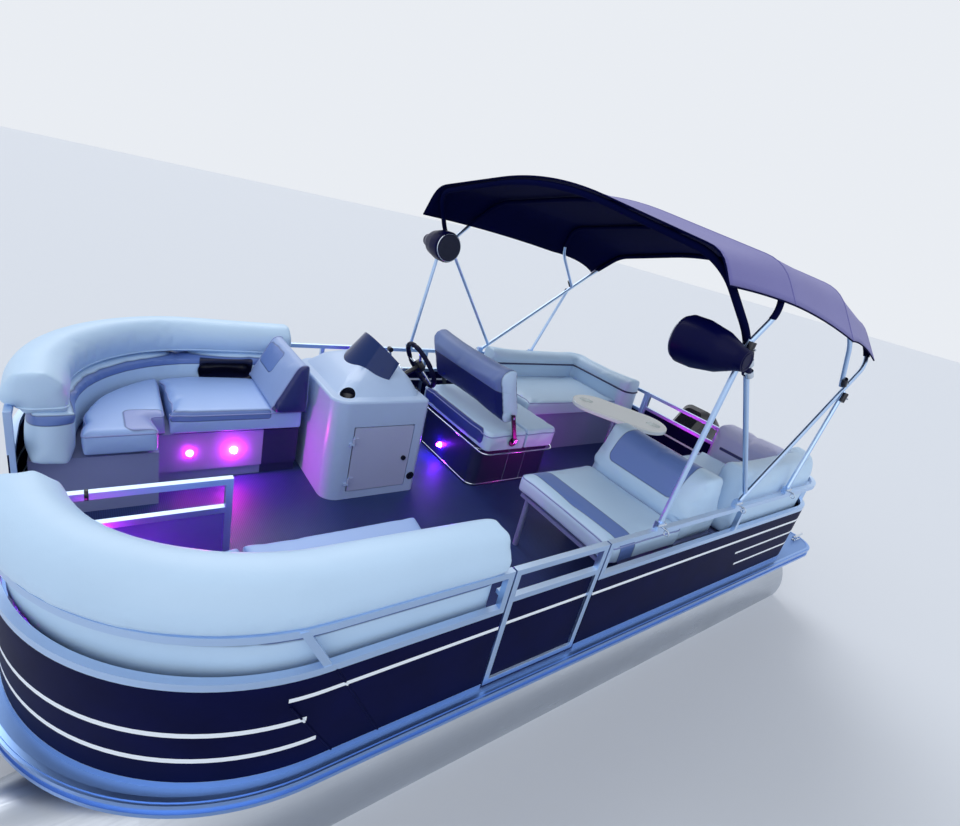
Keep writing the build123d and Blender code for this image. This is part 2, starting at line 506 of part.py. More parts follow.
# Courtesy lamps low on the seat bases: x, y, z and the way each faces
lamps = None
rows = (
    (3340, BOW_IN_STARBOARD - 40, BOW_BASE_H - 115, (0, 1)), (3560, BOW_IN_STARBOARD - 40, BOW_BASE_H - 115, (0, 1)),
    (4030, BOW_IN_PORT + 40, BOW_BASE_H - 115, (0, -1)), (1950, -500, 110, (1, 0)),
)
for x, y, z, (ax, ay) in rows:
    one = rod((x, y, z), (x + 9 * ax, y + 9 * ay, z), 20) + rod((x, y, z), (x + 14 * ax, y + 14 * ay, z), 14)
    lamps = one if lamps is None else lamps + one
nodes["courtesy_lamps"] = lamps

# Boarding ladder folded flat on the aft deck
steps = None
for y in (-960, -640):
    r = rod((-300, y, 14), (-60, y, 14), 14)
    steps = r if steps is None else steps + r
for x in (-290, -215, -140, -70):
    steps = steps + box((x - 25, x + 25), (-960, -640), (8, 22))
nodes["ladder"] = steps

# Outboard, drawn hanging straight down, then tilted up about the tilt pin
TILT_X, TILT_Z, TILT_BY = -460, -10, 50
STEER_X = TILT_X - 45
AXLE_Z = TILT_Z - 615


def motor(x, y, z):
    """A box measured from the tilt pin."""
    return Pos(TILT_X, 0, TILT_Z) * box(x, y, z)


def stack(rows):
    """A loft of rounded rectangles measured from the tilt pin: z, x limits, half width, corner."""
    faces = [Pos(TILT_X + (x0 + x1) / 2, 0, TILT_Z + z) * RectangleRounded(x1 - x0, 2 * half, r) for z, x0, x1, half, r in rows]
    return loft(faces, ruled=True)


clamp = box((-400, -372), (-90, 90), (-300, -12)) + box((-400, -334), (-90, 90), (-40, -12))
for y0, y1 in ((-84, -60), (60, 84)):
    clamp = clamp + side(((-395, -150), (-395, 10), (-440, 30), (-485, 15), (-485, -45), (-440, -150)), y0, y1)
nodes["clamp_bracket"] = clamp - rod((TILT_X, -100, TILT_Z), (TILT_X, 100, TILT_Z), 18.3)
swivel = rod((TILT_X, -96, TILT_Z), (TILT_X, 96, TILT_Z), 18) + motor((-75, -15), (-45, 45), (-310, 20))
nodes["swivel_bracket"] = swivel - rod((STEER_X, 0, -400), (STEER_X, 0, 60), 14.3)

leg = rod((STEER_X, 0, TILT_Z - 335), (STEER_X, 0, TILT_Z + 30), 14)
leg = leg + motor((-190, -22), (-38, 38), (26, 52)) + motor((-190, -22), (-38, 38), (-340, -316))
leg = leg + stack(((-500, -210, -108, 34, 24), (-280, -214, -108, 44, 28), (92, -236, -104, 66, 30)))
leg = leg + stack(((90, -425, -15, 150, 55), (104, -425, -15, 150, 55)))
plate = motor((-400, -80), (-85, 85), (-494, -484))
leg = leg + rounded(plate, 60)
leg = leg + stack(((-600, -232, -96, 20, 16), (-486, -214, -106, 24, 18)))
bullet = make_face(Polyline([(0, 0, -300), (40, 0, -300), (40, 0, -120), (34, 0, -84), (22, 0, -60), (0, 0, -50)], close=True))
torpedo = Pos(TILT_X, 0, AXLE_Z) * Rot(0, 90, 0) * revolve(bullet, Axis.Z)
skeg = side(((-590, -640), (-690, -640), (-690, -735), (-660, -735)), -7, 7)
shaft = rod((TILT_X - 362, 0, AXLE_Z), (TILT_X - 295, 0, AXLE_Z), 12)
nodes["motor_leg"] = join(leg, torpedo, skeg, shaft)
# cowl sections: height over the tilt pin, aft and fore limits, half width, corner
COWL = ((104, -425, -18, 150, 55), (190, -438, -12, 160, 62), (310, -430, -26, 152, 62), (395, -396, -60, 128, 58), (440, -340, -108, 86, 48))
hollow = [(z, x0 + 18, x1 - 18, half - 18, r - 10) for z, x0, x1, half, r in COWL[:4]]
hollow[0] = (103,) + hollow[0][1:]
hollow[3] = (378,) + hollow[3][1:]
nodes["motor_cowl"] = stack(COWL) - stack(hollow)
nodes["engine_block"] = motor((-378, -78), (-100, 100), (104, 335))
# propeller blade sections: distance from the axle, chord, thickness, pitch
BLADE = ((24, 52, 13, 58), (60, 78, 9, 44), (92, 74, 6, 33), (116, 34, 3, 27))
blade = loft([Pos(0, 0, r) * Rot(0, 0, turn) * Rectangle(thick, chord) for r, chord, thick, turn in BLADE], ruled=True)
prop = rod((TILT_X - 372, 0, AXLE_Z), (TILT_X - 305, 0, AXLE_Z), 34)
for a in (90, 210, 330):
    prop = prop + Pos(TILT_X - 338, 0, AXLE_Z) * Rot(a, 0, 0) * blade
nodes["propeller"] = prop - rod((TILT_X - 366, 0, AXLE_Z), (TILT_X - 290, 0, AXLE_Z), 12.3)
tilt_up = Pos(TILT_X, 0, TILT_Z) * Rot(0, TILT_BY, 0) * Pos(-TILT_X, 0, -TILT_Z)
for name in ("swivel_bracket", "motor_leg", "motor_cowl", "engine_block", "propeller"):
    nodes[name] = tilt_up * nodes[name]

# Where two fixed pieces meet, the first is cut to sit against the second
seats_against = (
    ("canopy_front_bow", "canopy_rear_bow"), ("canopy_mid_bows", "canopy_front_bow"), ("canopy_mid_bows", "canopy_rear_bow"),
    ("canopy_braces", "canopy_front_bow"), ("canopy_braces", "canopy_rear_bow"), ("canopy_cloth", "canopy_mid_bows"),
    ("canopy_cloth", "canopy_front_bow"), ("canopy_cloth", "canopy_rear_bow"), ("speakers", "canopy_front_bow"),
    ("windscreen", "console"), ("chaise_back", "bow_back_starboard"),
)
for a, b in seats_against:
    nodes[a] = nodes[a] - nodes[b]

for name, shape in nodes.items():
    export_step(Pos(-MID_X, 0, -FLOOR) * shape, f"parts/{name}.step")
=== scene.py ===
import bpy
import math
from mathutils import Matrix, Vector


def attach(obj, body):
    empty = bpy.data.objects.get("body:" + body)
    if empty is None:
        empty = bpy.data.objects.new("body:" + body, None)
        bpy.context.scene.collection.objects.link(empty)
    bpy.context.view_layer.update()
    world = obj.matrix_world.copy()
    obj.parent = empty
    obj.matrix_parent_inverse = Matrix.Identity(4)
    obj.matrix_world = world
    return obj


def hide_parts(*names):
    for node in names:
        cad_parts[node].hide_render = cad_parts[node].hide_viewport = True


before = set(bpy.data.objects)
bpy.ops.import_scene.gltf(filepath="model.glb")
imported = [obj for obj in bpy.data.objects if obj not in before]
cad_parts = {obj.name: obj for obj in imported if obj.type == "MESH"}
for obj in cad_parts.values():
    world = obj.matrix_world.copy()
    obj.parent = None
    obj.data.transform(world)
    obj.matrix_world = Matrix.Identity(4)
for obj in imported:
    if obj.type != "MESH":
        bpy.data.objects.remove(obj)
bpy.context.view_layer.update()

# The boat floats on a pale studio floor set at her waterline. The camera stands off the
# port bow, a little above the rail, rolled as a hand-held shot is, and the light is soft.
# MID_X and LIFT tie the aft rail and the deck, from which places are given, to the frame.
MID_X, LIFT = 1591.652, 755.0
WATERLINE = 0.235
scene = bpy.context.scene
scene.view_settings.view_transform = "Standard"


def at(x, y, z):
    """A place given in millimetres from the aft rail, the middle line and the deck."""
    return Vector(((x - MID_X) / 1000, y / 1000, (z + LIFT) / 1000))


def hue(code, share=1.0):
    """A written sRGB colour, or a share of its light, as the linear one that a shader takes."""
    parts = [int(code[i:i + 2], 16) / 255 for i in (1, 3, 5)]
    return [share * (c / 12.92 if c <= 0.04045 else ((c + 0.055) / 1.055) ** 2.4) for c in parts] + [1.0]


def add(tree, kind, inputs=(), **settings):
    """Adds one shader node with its settings. Its inputs are values, outputs, or nodes
    whose first output is meant."""
    node = tree.nodes.new("ShaderNode" + kind)
    for key, value in settings.items():
        setattr(node, key, value)
    for key, value in dict(inputs).items():
        if isinstance(value, bpy.types.Node):
            value = value.outputs[0]
        if isinstance(value, bpy.types.NodeSocket):
            tree.links.new(value, node.inputs[key])
        else:
            node.inputs[key].default_value = value
    return node


def feed(tree, node, shader, name):
    """Lets a node drive one of the shader's sockets."""
    tree.links.new(node.outputs[0], shader.inputs[name])


def finish(name, colour, roughness, metallic=0.0):
    """A new material with its own place coordinates, ready for its pattern."""
    mat = bpy.data.materials.new(name)
    mat.use_nodes = True
    tree = mat.node_tree
    shader = next(n for n in tree.nodes if n.type == "BSDF_PRINCIPLED")
    shader.inputs["Base Color"].default_value = hue(colour)
    shader.inputs["Roughness"].default_value = roughness
    shader.inputs["Metallic"].default_value = metallic
    return mat, tree, shader, add(tree, "TexCoord").outputs["Object"]


def grab(*pieces):
    """Selects these pieces alone."""
    bpy.ops.object.select_all(action="DESELECT")
    for piece in pieces:
        piece.select_set(True)
    bpy.context.view_layer.objects.active = pieces[-1]


eye = bpy.data.objects.new("camera", bpy.data.cameras.new("camera"))
scene.collection.objects.link(eye)
eye.location = (2.408748, 2.2963, 2.5016)
eye.rotation_euler = [math.radians(a) for a in (68.473, -13.1146, 145.1628)]
eye.data.sensor_width, eye.data.lens = 36, 19.703
scene.camera = eye

bpy.ops.object.select_all(action="DESELECT")
bpy.ops.mesh.primitive_plane_add(size=90, location=(0, 0, WATERLINE))
floor = bpy.context.object
floor.name = "floor"
floor.data.materials.append(finish("studio_floor", "#d9dee6", 0.9)[0])

sky = bpy.data.worlds.new("studio")
scene.world = sky
sky.use_nodes = True
tree = sky.node_tree
tree.nodes.clear()
seen = add(tree, "LightPath")
direct = add(tree, "Math", {0: seen.outputs["Is Camera Ray"], 1: seen.outputs["Is Glossy Ray"]},
             operation="MAXIMUM")
through = add(tree, "Math", {0: direct, 1: seen.outputs["Is Transmission Ray"]}, operation="MAXIMUM")
glow = add(tree, "MapRange", {"Value": through, "To Min": 0.62, "To Max": 0.92})
back = add(tree, "Background", {"Color": hue("#f2f6fc"), "Strength": glow})
add(tree, "OutputWorld", {"Surface": back})
for name, energy, spread, turn in (("key", 1.1, 40, (38, 18, -30)), ("fill", 0.75, 70, (50, -10, 150))):
    lamp = bpy.data.objects.new(name, bpy.data.lights.new(name, "SUN"))
    lamp.data.energy, lamp.data.angle = energy, math.radians(spread)
    lamp.rotation_euler = [math.radians(a) for a in turn]
    scene.collection.objects.link(lamp)

# The hull is two sealed tubes of 3 mm marine aluminium sheet, rolled and welded in
# lengths, with fabricated nose cones, a keel strip below and a riser on top. The sheet
# is left bare and has dulled to a soft grey with long rolling marks.


def relief(tree, shader, height, strength, deep):
    """Raises a pattern as bump, so many metres deep."""
    bump = add(tree, "Bump", {"Strength": strength, "Distance": deep, "Height": height})
    feed(tree, bump, shader, "Normal")


def gleam(tree, shader, pattern, low, high, start=0.0, end=1.0):
    """Lets the roughness wander between two values as a pattern goes from start to end."""
    span = add(tree, "MapRange", {"Value": pattern, "From Min": start, "From Max": end,
                                  "To Min": low, "To Max": high})
    feed(tree, span, shader, "Roughness")


def bare_sheet(name, colour, rough, along=(1, 30, 30)):
    """Mill-finish aluminium: fine streaks along the rolling direction and slow clouding."""
    mat, tree, shader, place = finish(name, colour, rough, 1.0)
    drawn = add(tree, "Mapping", {"Vector": place, "Scale": along})
    streak = add(tree, "TexNoise", {"Vector": drawn, "Scale": 6.0, "Detail": 4.0})
    cloud = add(tree, "TexNoise", {"Vector": place, "Scale": 3.5, "Detail": 3.0})
    both = add(tree, "Math", {0: streak, 1: cloud}, operation="ADD")
    gleam(tree, shader, both, rough - 0.09, rough + 0.13, 0.7, 1.3)
    tone = add(tree, "MixRGB", {0: cloud, 1: hue(colour), 2: hue(colour, 0.8)})
    feed(tree, tone, shader, "Base Color")
    relief(tree, shader, streak, 0.25, 0.0006)
    return mat


def coat(material, *nodes):
    """Gives carried-over solids this finish."""
    for node in nodes:
        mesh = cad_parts[node].data
        mesh.materials.clear()
        mesh.materials.append(material)


tube_sheet = bare_sheet("mill_aluminium_sheet", "#c3c9d2", 0.34)
coat(tube_sheet, "tube_port", "tube_starboard", "motor_pod")

# The cross members are extruded aluminium channels bolted over the risers, left as they
# came from the press, with die lines along their length.
pressed = bare_sheet("extruded_channel", "#aab1bc", 0.42, (30, 1, 30))
coat(pressed, "cross_members")

# The deck is marine plywood under woven vinyl, glued down wall to wall, in a dark slate
# blue yarn. An extruded aluminium rub rail with two ribs is screwed round its edge.
FENCE_HALF = 1257


def past_box(tree, place, centre, half, corner):
    """How far a place lies outside a rounded box given in millimetres; less than 0 inside."""
    off = add(tree, "VectorMath", {0: place, 1: at(*centre)}, operation="SUBTRACT")
    off = add(tree, "VectorMath", {0: off}, operation="ABSOLUTE")
    off = add(tree, "VectorMath", {0: off, 1: [(h - corner) / 1000 for h in half]}, operation="SUBTRACT")
    off = add(tree, "VectorMath", {0: off, 1: (0, 0, 0)}, operation="MAXIMUM")
    far = add(tree, "VectorMath", {0: off}, operation="LENGTH")
    return add(tree, "Math", {0: far.outputs["Value"], 1: corner / 1000}, operation="SUBTRACT")


def woven_vinyl(name, yarn, shade, pitch=0.009):
    """Flat woven vinyl yarn; real pitch 5 mm, drawn at 9 mm so that the weave still shows.
    It stops at the fence's line, and outside that the deck's aluminium edging is bare."""
    mat, tree, shader, place = finish(name, yarn, 0.5)
    over, under = [add(tree, "TexWave", {"Vector": place, "Scale": 0.314 / pitch, "Distortion": 0.4},
                       bands_direction=way) for way in "XY"]
    check = add(tree, "Math", {0: over.outputs[1], 1: under.outputs[1]}, operation="MULTIPLY")
    worn = add(tree, "TexNoise", {"Vector": place, "Scale": 2.2, "Detail": 5.0})
    blend = add(tree, "Math", {0: check, 1: worn}, operation="ADD")
    level = add(tree, "MapRange", {"Value": blend, "From Min": 0.3, "From Max": 1.4})
    tone = add(tree, "MixRGB", {0: level, 1: hue(shade), 2: hue(yarn)})
    outside = None
    # the vinyl's outline from above as two rounded boxes: from, to along the boat, corner
    for x0, x1, corner in ((-9000, 4262, 812), (-12, 9000, 262)):
        edge = past_box(tree, place, ((x0 + x1) / 2, 0, 0), ((x1 - x0) / 2, FENCE_HALF, 50000), corner)
        past = add(tree, "Math", {0: edge, 1: 0.0}, operation="GREATER_THAN")
        outside = past if outside is None else add(tree, "Math", {0: outside, 1: past}, operation="MAXIMUM")
    tone = add(tree, "MixRGB", {0: outside, 1: tone, 2: hue("#7f9fd2")})
    feed(tree, tone, shader, "Base Color")
    feed(tree, outside, shader, "Metallic")
    smooth = add(tree, "Math", {0: 1.0, 1: outside}, operation="SUBTRACT")
    weave = add(tree, "Math", {0: check, 1: smooth}, operation="MULTIPLY")
    relief(tree, shader, weave, 0.5, 0.0012)
    return mat


deck_vinyl = woven_vinyl("woven_vinyl_floor", "#2f4888", "#18265c")
coat(deck_vinyl, "deck")


def anodised(name, colour, rough):
    """Satin anodised aluminium: an even soft shine with faint die lines."""
    mat, tree, shader, place = finish(name, colour, rough, 1.0)
    grain = add(tree, "TexNoise", {"Vector": place, "Scale": 240.0, "Detail": 2.0})
    slow = add(tree, "TexNoise", {"Vector": place, "Scale": 5.0, "Detail": 2.0})
    gleam(tree, shader, slow, rough - 0.07, rough + 0.1)
    relief(tree, shader, grain, 0.12, 0.0003)
    return mat


rail_metal = anodised("satin_anodised_rail", "#b6d0f2", 0.3)
# the rub rail is a deeper blue than the rails: anodised metal, partly a painted reflection of the water
coat(anodised("satin_anodised_rub_rail_painted_reflection", "#8db0e6", 0.3), "rub_rail")

# The fence is 26 mm square aluminium tube, mitred, welded and anodised, in three runs
# with gates between them. Baked-enamel sheet fills it below the middle rail, navy with
# thin pale lines laid on in vinyl film.


def fence_enamel(name, deep, light, lines):
    """Baked enamel on sheet, a little clouded, with pale film lines: height over the deck,
    half thickness, from and to along the boat (mm)."""
    mat, tree, shader, place = finish(name, deep, 0.5)
    shader.inputs["Specular IOR Level"].default_value = 0.05
    axes = add(tree, "SeparateXYZ", {0: place})
    total = None
    for height, half, x0, x1 in lines:
        off = add(tree, "Math", {0: axes.outputs[2], 1: (height + LIFT) / 1000}, operation="SUBTRACT")
        gap = add(tree, "Math", {0: off}, operation="ABSOLUTE")
        thick = add(tree, "Math", {0: gap, 1: half / 1000}, operation="LESS_THAN")
        fore = add(tree, "Math", {0: axes, 1: (x0 - MID_X) / 1000}, operation="GREATER_THAN")
        aft = add(tree, "Math", {0: axes, 1: (x1 - MID_X) / 1000}, operation="LESS_THAN")
        run = add(tree, "Math", {0: fore, 1: aft}, operation="MULTIPLY")
        line = add(tree, "Math", {0: run, 1: thick}, operation="MULTIPLY")
        total = line if total is None else add(tree, "Math", {0: total, 1: line}, operation="MAXIMUM")
    dust = add(tree, "TexNoise", {"Vector": place, "Scale": 7.0, "Detail": 4.0})
    tone = add(tree, "MixRGB", {0: dust, 1: hue(deep), 2: hue(light)})
    if total:
        tone = add(tree, "MixRGB", {0: total, 1: tone, 2: hue("#eef6ff")})
    feed(tree, tone, shader, "Base Color")
    relief(tree, shader, dust, 0.3, 0.002)
    return mat


def apply(piece, kind, **settings):
    """Gives the chosen piece one modifier with its settings, and applies it."""
    step = piece.modifiers.new("step", kind)
    for key, value in settings.items():
        setattr(step, key, value)
    bpy.ops.object.modifier_apply(modifier="step")


def trimmed(name, node, cuts=(), capped=True, merged=False):
    """A welded copy of a solid, cut by planes: (place, direction away). Merged joins the
    facets of its flat faces."""
    piece = bpy.data.objects.new(name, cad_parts[node].data.copy())
    scene.collection.objects.link(piece)
    grab(piece)
    bpy.ops.object.mode_set(mode="EDIT")
    bpy.ops.mesh.select_all(action="SELECT")
    bpy.ops.mesh.remove_doubles(threshold=0.00005)
    for where, way in cuts:
        bpy.ops.mesh.select_all(action="SELECT")
        bpy.ops.mesh.bisect(plane_co=at(*where), plane_no=way, use_fill=capped, clear_outer=True)
    if merged:
        bpy.ops.mesh.select_all(action="SELECT")
        bpy.ops.mesh.dissolve_limited(angle_limit=math.radians(1))
    bpy.ops.object.mode_set(mode="OBJECT")
    return piece


def softened(name, node, width, angle=35, segments=2, cuts=()):
    """A trimmed copy with its edges eased as the made piece has them."""
    piece = trimmed(name, node, cuts, merged=True)
    apply(piece, "BEVEL", width=width / 1000, segments=segments, limit_method="ANGLE",
          angle_limit=math.radians(angle), use_clamp_overlap=True)
    bpy.ops.object.shade_smooth_by_angle(angle=math.radians(40))
    apply(piece, "WEIGHTED_NORMAL", keep_sharp=True)
    return piece


def settle(piece, material, body, *nodes):
    """Gives a finished piece its material and the body it rides on, and hides what it stands for."""
    piece.data.materials.clear()
    piece.data.materials.append(material)
    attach(piece, body)
    if nodes:
        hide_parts(*nodes)
    return piece


panel_enamel = fence_enamel("navy_baked_enamel", "#02052a", "#050b42", (
    (318, 8, -400, 3560), (222, 9, 3500, 4400), (118, 9, 3460, 4400),
    (222, 7, -400, 950), (130, 7, -400, 900)))
# a lighter grey-violet enamel for the bow gate's inner face: painted lamplight from the bow lamps
lamplit_back_coat = fence_enamel("gate_back_painted_lamplight", "#464f96", "#5660a8", ())
coat(panel_enamel, "fence_panels")
# a lighter metal for the rail tubes' upward faces: a painted highlight
lit_top_metal = anodised("rail_top_painted_highlight", "#c8dcf4", 0.55)
# each run: its body, and for a gate the way its sheet faces (0 along the boat, 1 across)
# and where it stands; the tubes' upper faces take a lighter metal, a painted highlight, and
# the bow gate's inner face a lighter grey, painted lamplight
LIT_TOP, FRONT, LAMPLIT_BACK = 1, 2, 3
for node, body, axis, level in (
        ("fence_bow_port", "boat", 0, None), ("fence_aft_port", "boat", 0, None),
        ("fence_starboard", "boat", 0, None), ("side_gate", "side_gate", 1, 1245),
        ("bow_gate", "bow_gate", 1, 424), ("aft_gate", "aft_gate", 0, 0)):
    leaf = softened(node + "_frame", node, 4)
    settle(leaf, rail_metal, body, node)
    for extra in (lit_top_metal, panel_enamel, lamplit_back_coat):
        leaf.data.materials.append(extra)
    for face in leaf.data.polygons:
        if face.normal.z > 0.2:
            face.material_index = LIT_TOP
        if level is None or abs(face.normal[axis]) <= 0.9:
            continue
        if abs(face.center[axis] - at(level, level, 0)[axis]) < 0.005:
            face.material_index = LAMPLIT_BACK if node == "bow_gate" and face.normal.y > 0 else FRONT


def strip(name, points, radius, material, body="boat"):
    """A run of small round bar along a few points, drawn out point by point."""
    bpy.ops.object.select_all(action="DESELECT")
    bpy.ops.mesh.primitive_plane_add(size=0.001, location=points[0])
    bar = bpy.context.object
    bar.name = name
    bpy.ops.object.mode_set(mode="EDIT")
    bpy.ops.mesh.select_mode(type="VERT")
    bpy.ops.mesh.select_all(action="SELECT")
    bpy.ops.mesh.merge(type="CENTER")
    for a, b in zip(points, points[1:]):
        bpy.ops.mesh.extrude_region_move(TRANSFORM_OT_translate={"value": b - a})
    bpy.ops.object.mode_set(mode="OBJECT")
    bpy.ops.object.transform_apply(location=True, rotation=True, scale=True)
    bpy.ops.object.convert(target="CURVE")
    bar.data.bevel_depth, bar.data.bevel_resolution, bar.data.use_fill_caps = radius / 1000, 2, True
    bpy.ops.object.convert(target="MESH")
    bpy.ops.object.shade_smooth_by_angle(angle=math.radians(50))
    return settle(bar, material, body)


# the sheet has two rolled seams down its slope behind the bow, beside the sloping bar:
# each one's head and foot (along, up)
for side, tag in ((1, "port"), (-1, "starboard")):
    for nth, seam in enumerate((((3428, 394), (3234, 26)), ((3556, 300), (3400, 26)))):
        ends = [at(x, side * (FENCE_HALF + 1), z) for x, z in seam]
        strip("panel_seam_%s_%d" % (tag, nth), ends, 3.5, panel_enamel)


def turned(name, a, b, radius, material, body="boat", ease=2, dish=3, core=None, sides=32):
    """A turned or moulded round piece between two places, with dished ends and eased rims.
    Core is what the dish is lined with."""
    bpy.ops.object.select_all(action="DESELECT")
    way = b - a
    bpy.ops.mesh.primitive_cylinder_add(
        vertices=sides, radius=radius / 1000, depth=way.length, location=(a + b) / 2,
        rotation=way.to_track_quat("Z", "Y").to_euler())
    piece = bpy.context.object
    piece.name = name
    bpy.ops.object.transform_apply(location=True, rotation=True, scale=True)
    bpy.ops.object.mode_set(mode="EDIT")
    bpy.ops.mesh.select_mode(type="FACE")
    bpy.ops.mesh.select_all(action="DESELECT")
    bpy.ops.object.mode_set(mode="OBJECT")
    for face in piece.data.polygons:
        face.select = len(face.vertices) > 4
    bpy.ops.object.mode_set(mode="EDIT")
    bpy.ops.mesh.inset(thickness=radius * 0.28 / 1000, use_individual=True)
    bpy.ops.transform.shrink_fatten(value=-dish / 1000)
    bpy.ops.mesh.inset(thickness=radius * 0.3 / 1000, use_individual=True)
    bpy.ops.mesh.select_mode(type="VERT")
    bpy.ops.object.mode_set(mode="OBJECT")
    apply(piece, "BEVEL", width=ease / 1000, segments=2, limit_method="ANGLE", angle_limit=math.radians(50))
    bpy.ops.object.shade_smooth_by_angle(angle=math.radians(40))
    settle(piece, material, body)
    if core:
        piece.data.materials.append(core)
        for face in piece.data.polygons:
            depth = min((face.center - end).project(way).length for end in (a, b))
            if abs(face.normal.dot(way.normalized())) > 0.9 and depth > dish * 0.5 / 1000:
                face.material_index = 1
    return piece


def hoop(name, centre, way, radius, thick, material, body="boat"):
    """A ring of round bar, bent and welded shut."""
    bpy.ops.object.select_all(action="DESELECT")
    bpy.ops.mesh.primitive_torus_add(
        location=centre, rotation=Vector(way).to_track_quat("Z", "Y").to_euler(), major_segments=40,
        minor_segments=10, major_radius=radius / 1000, minor_radius=thick / 1000)
    piece = bpy.context.object
    piece.name = name
    bpy.ops.object.transform_apply(location=True, rotation=True, scale=True)
    bpy.ops.object.shade_smooth()
    return settle(piece, material, body)


# The lounges are moulded polyethylene shells, screwed to the deck. Foam cushions in
# expanded vinyl sit on them, and a fat roll is carried round the rail and the bow.


def moulded(name, colour, rough, grain=0.004, kick_and_shade_to=None):
    """Rotomoulded polyethylene: waxy, with a pebbled skin; real pebbles 2 mm, drawn at 4.
    Aft of the given mark along the boat, the shell is drawn dark navy: a kick panel, and
    partly painted shade falling between the lounge and the console."""
    mat, tree, shader, place = finish(name, colour, rough)
    shader.inputs["IOR"].default_value = 1.5
    pebble = add(tree, "TexVoronoi", {"Vector": place, "Scale": 1 / grain}, feature="SMOOTH_F1")
    slow = add(tree, "TexNoise", {"Vector": place, "Scale": 4.0, "Detail": 4.0})
    tone = add(tree, "MixRGB", {0: slow, 1: hue(colour), 2: hue(colour, 0.84)})
    if kick_and_shade_to is not None:
        # aft of the mark the shell is drawn dark navy: a kick panel, partly painted shade
        along = add(tree, "SeparateXYZ", {0: place})
        aft_of = add(tree, "Math", {0: along, 1: (kick_and_shade_to - MID_X) / 1000}, operation="LESS_THAN")
        tone = add(tree, "MixRGB", {0: aft_of, 1: tone, 2: hue("#1c2150")})
    feed(tree, tone, shader, "Base Color")
    relief(tree, shader, pebble, 0.25, 0.0008)
    return mat


def marine_vinyl(name, colour, patches=()):
    """Expanded marine vinyl: a soft sheen over a fine hide grain (real 1.5 mm, drawn at 5).
    Patches are (colour, centre, half size, corner) in millimetres, sewn in with a seam."""
    mat, tree, shader, place = finish(name, colour, 0.42)
    grain = add(tree, "TexVoronoi", {"Vector": place, "Scale": 200.0}, feature="SMOOTH_F1")
    crease = add(tree, "TexNoise", {"Vector": place, "Scale": 16.0, "Detail": 5.0, "Distortion": 0.6})
    slow = add(tree, "TexNoise", {"Vector": place, "Scale": 2.4, "Detail": 3.0})
    tone = add(tree, "MixRGB", {0: slow, 1: hue(colour), 2: hue(colour, 0.86)})
    height = add(tree, "Math", {0: grain, 1: 0.35}, operation="MULTIPLY")
    height = add(tree, "Math", {0: height, 1: crease}, operation="ADD")
    for shade, centre, half, corner in patches:
        edge = past_box(tree, place, centre, half, corner)
        inside = add(tree, "Math", {0: edge, 1: 0.0}, operation="LESS_THAN")
        near = add(tree, "Math", {0: edge}, operation="ABSOLUTE")
        seam = add(tree, "MapRange", {"Value": near, "From Max": 0.005, "To Min": 1.0, "To Max": 0.0})
        tone = add(tree, "MixRGB", {0: inside, 1: tone, 2: hue(shade)})
        line = add(tree, "Math", {0: seam, 1: 0.55}, operation="MULTIPLY")
        tone = add(tree, "MixRGB", {0: line, 1: tone, 2: hue("#1a2348")})
        deep = add(tree, "Math", {0: seam, 1: 4.0}, operation="MULTIPLY")
        height = add(tree, "Math", {0: height, 1: deep}, operation="SUBTRACT")
    feed(tree, tone, shader, "Base Color")
    gleam(tree, shader, crease, 0.34, 0.52)
    relief(tree, shader, height, 0.35, 0.0016)
    return mat


def box(piece):
    """A mesh's lowest and highest corner."""
    return [Vector([f(v.co[i] for v in piece.data.vertices) for i in range(3)]) for f in (min, max)]


def cover(name, node, cuts=(), voxel=16, rest=None):
    """The sewn cover before it is filled: the solid's shape, cut to its own cushion, meshed
    evenly and 8 mm slim. Below rest it is held flat."""
    pad = trimmed(name, node, cuts)
    room = box(pad)
    apply(pad, "REMESH", mode="VOXEL", voxel_size=voxel / 1000)
    apply(pad, "DISPLACE", strength=-0.008, mid_level=0.0)
    apply(pad, "SMOOTH", factor=0.5, iterations=3)
    if rest is not None:
        held = pad.vertex_groups.new(name="held")
        level = (rest + LIFT) / 1000
        held.add([v.index for v in pad.data.vertices if v.co.z < level], 1.0, "REPLACE")
    pad["room"] = [*room[0], *room[1]]
    return pad


def fill(*pads, cap=22, crown=9):
    """Fills the covers as foam does, then sits each back in the room its solid holds."""
    before = {pad.name: [v.co.copy() for v in pad.data.vertices] for pad in pads}
    for pad in pads:
        cloth = pad.modifiers.new("cover", "CLOTH")
        s = cloth.settings
        s.use_pressure, s.uniform_pressure_force, s.quality = True, 4.0, 4
        s.effector_weights.gravity = 0.0
        cloth.collision_settings.use_collision = False
        if "held" in pad.vertex_groups:
            s.vertex_group_mass = "held"
    for step in range(1, 21):
        scene.frame_set(step)
    graph = bpy.context.evaluated_depsgraph_get()
    for pad in pads:
        swollen = [v.co.copy() for v in pad.evaluated_get(graph).data.vertices]
        pad.modifiers.remove(pad.modifiers["cover"])
        for vertex, old, new in zip(pad.data.vertices, before[pad.name], swollen):
            move = new - old
            if move.length > cap / 1000:
                move *= cap / 1000 / move.length
            vertex.co = old + move
    scene.frame_set(1)
    for pad in pads:
        low, high = Vector(pad["room"][:3]), Vector(pad["room"][3:])
        high.z += crown / 1000
        least, most = box(pad)
        for v in pad.data.vertices:
            v.co = [low[i] + (v.co[i] - least[i]) * (high[i] - low[i]) / (most[i] - least[i])
                    for i in range(3)]
        del pad["room"]
        pad.vertex_groups.clear()
        grab(pad)
        apply(pad, "SMOOTH", factor=0.5, iterations=2)
        apply(pad, "SUBSURF", levels=1, render_levels=1)
        bpy.ops.object.shade_smooth()


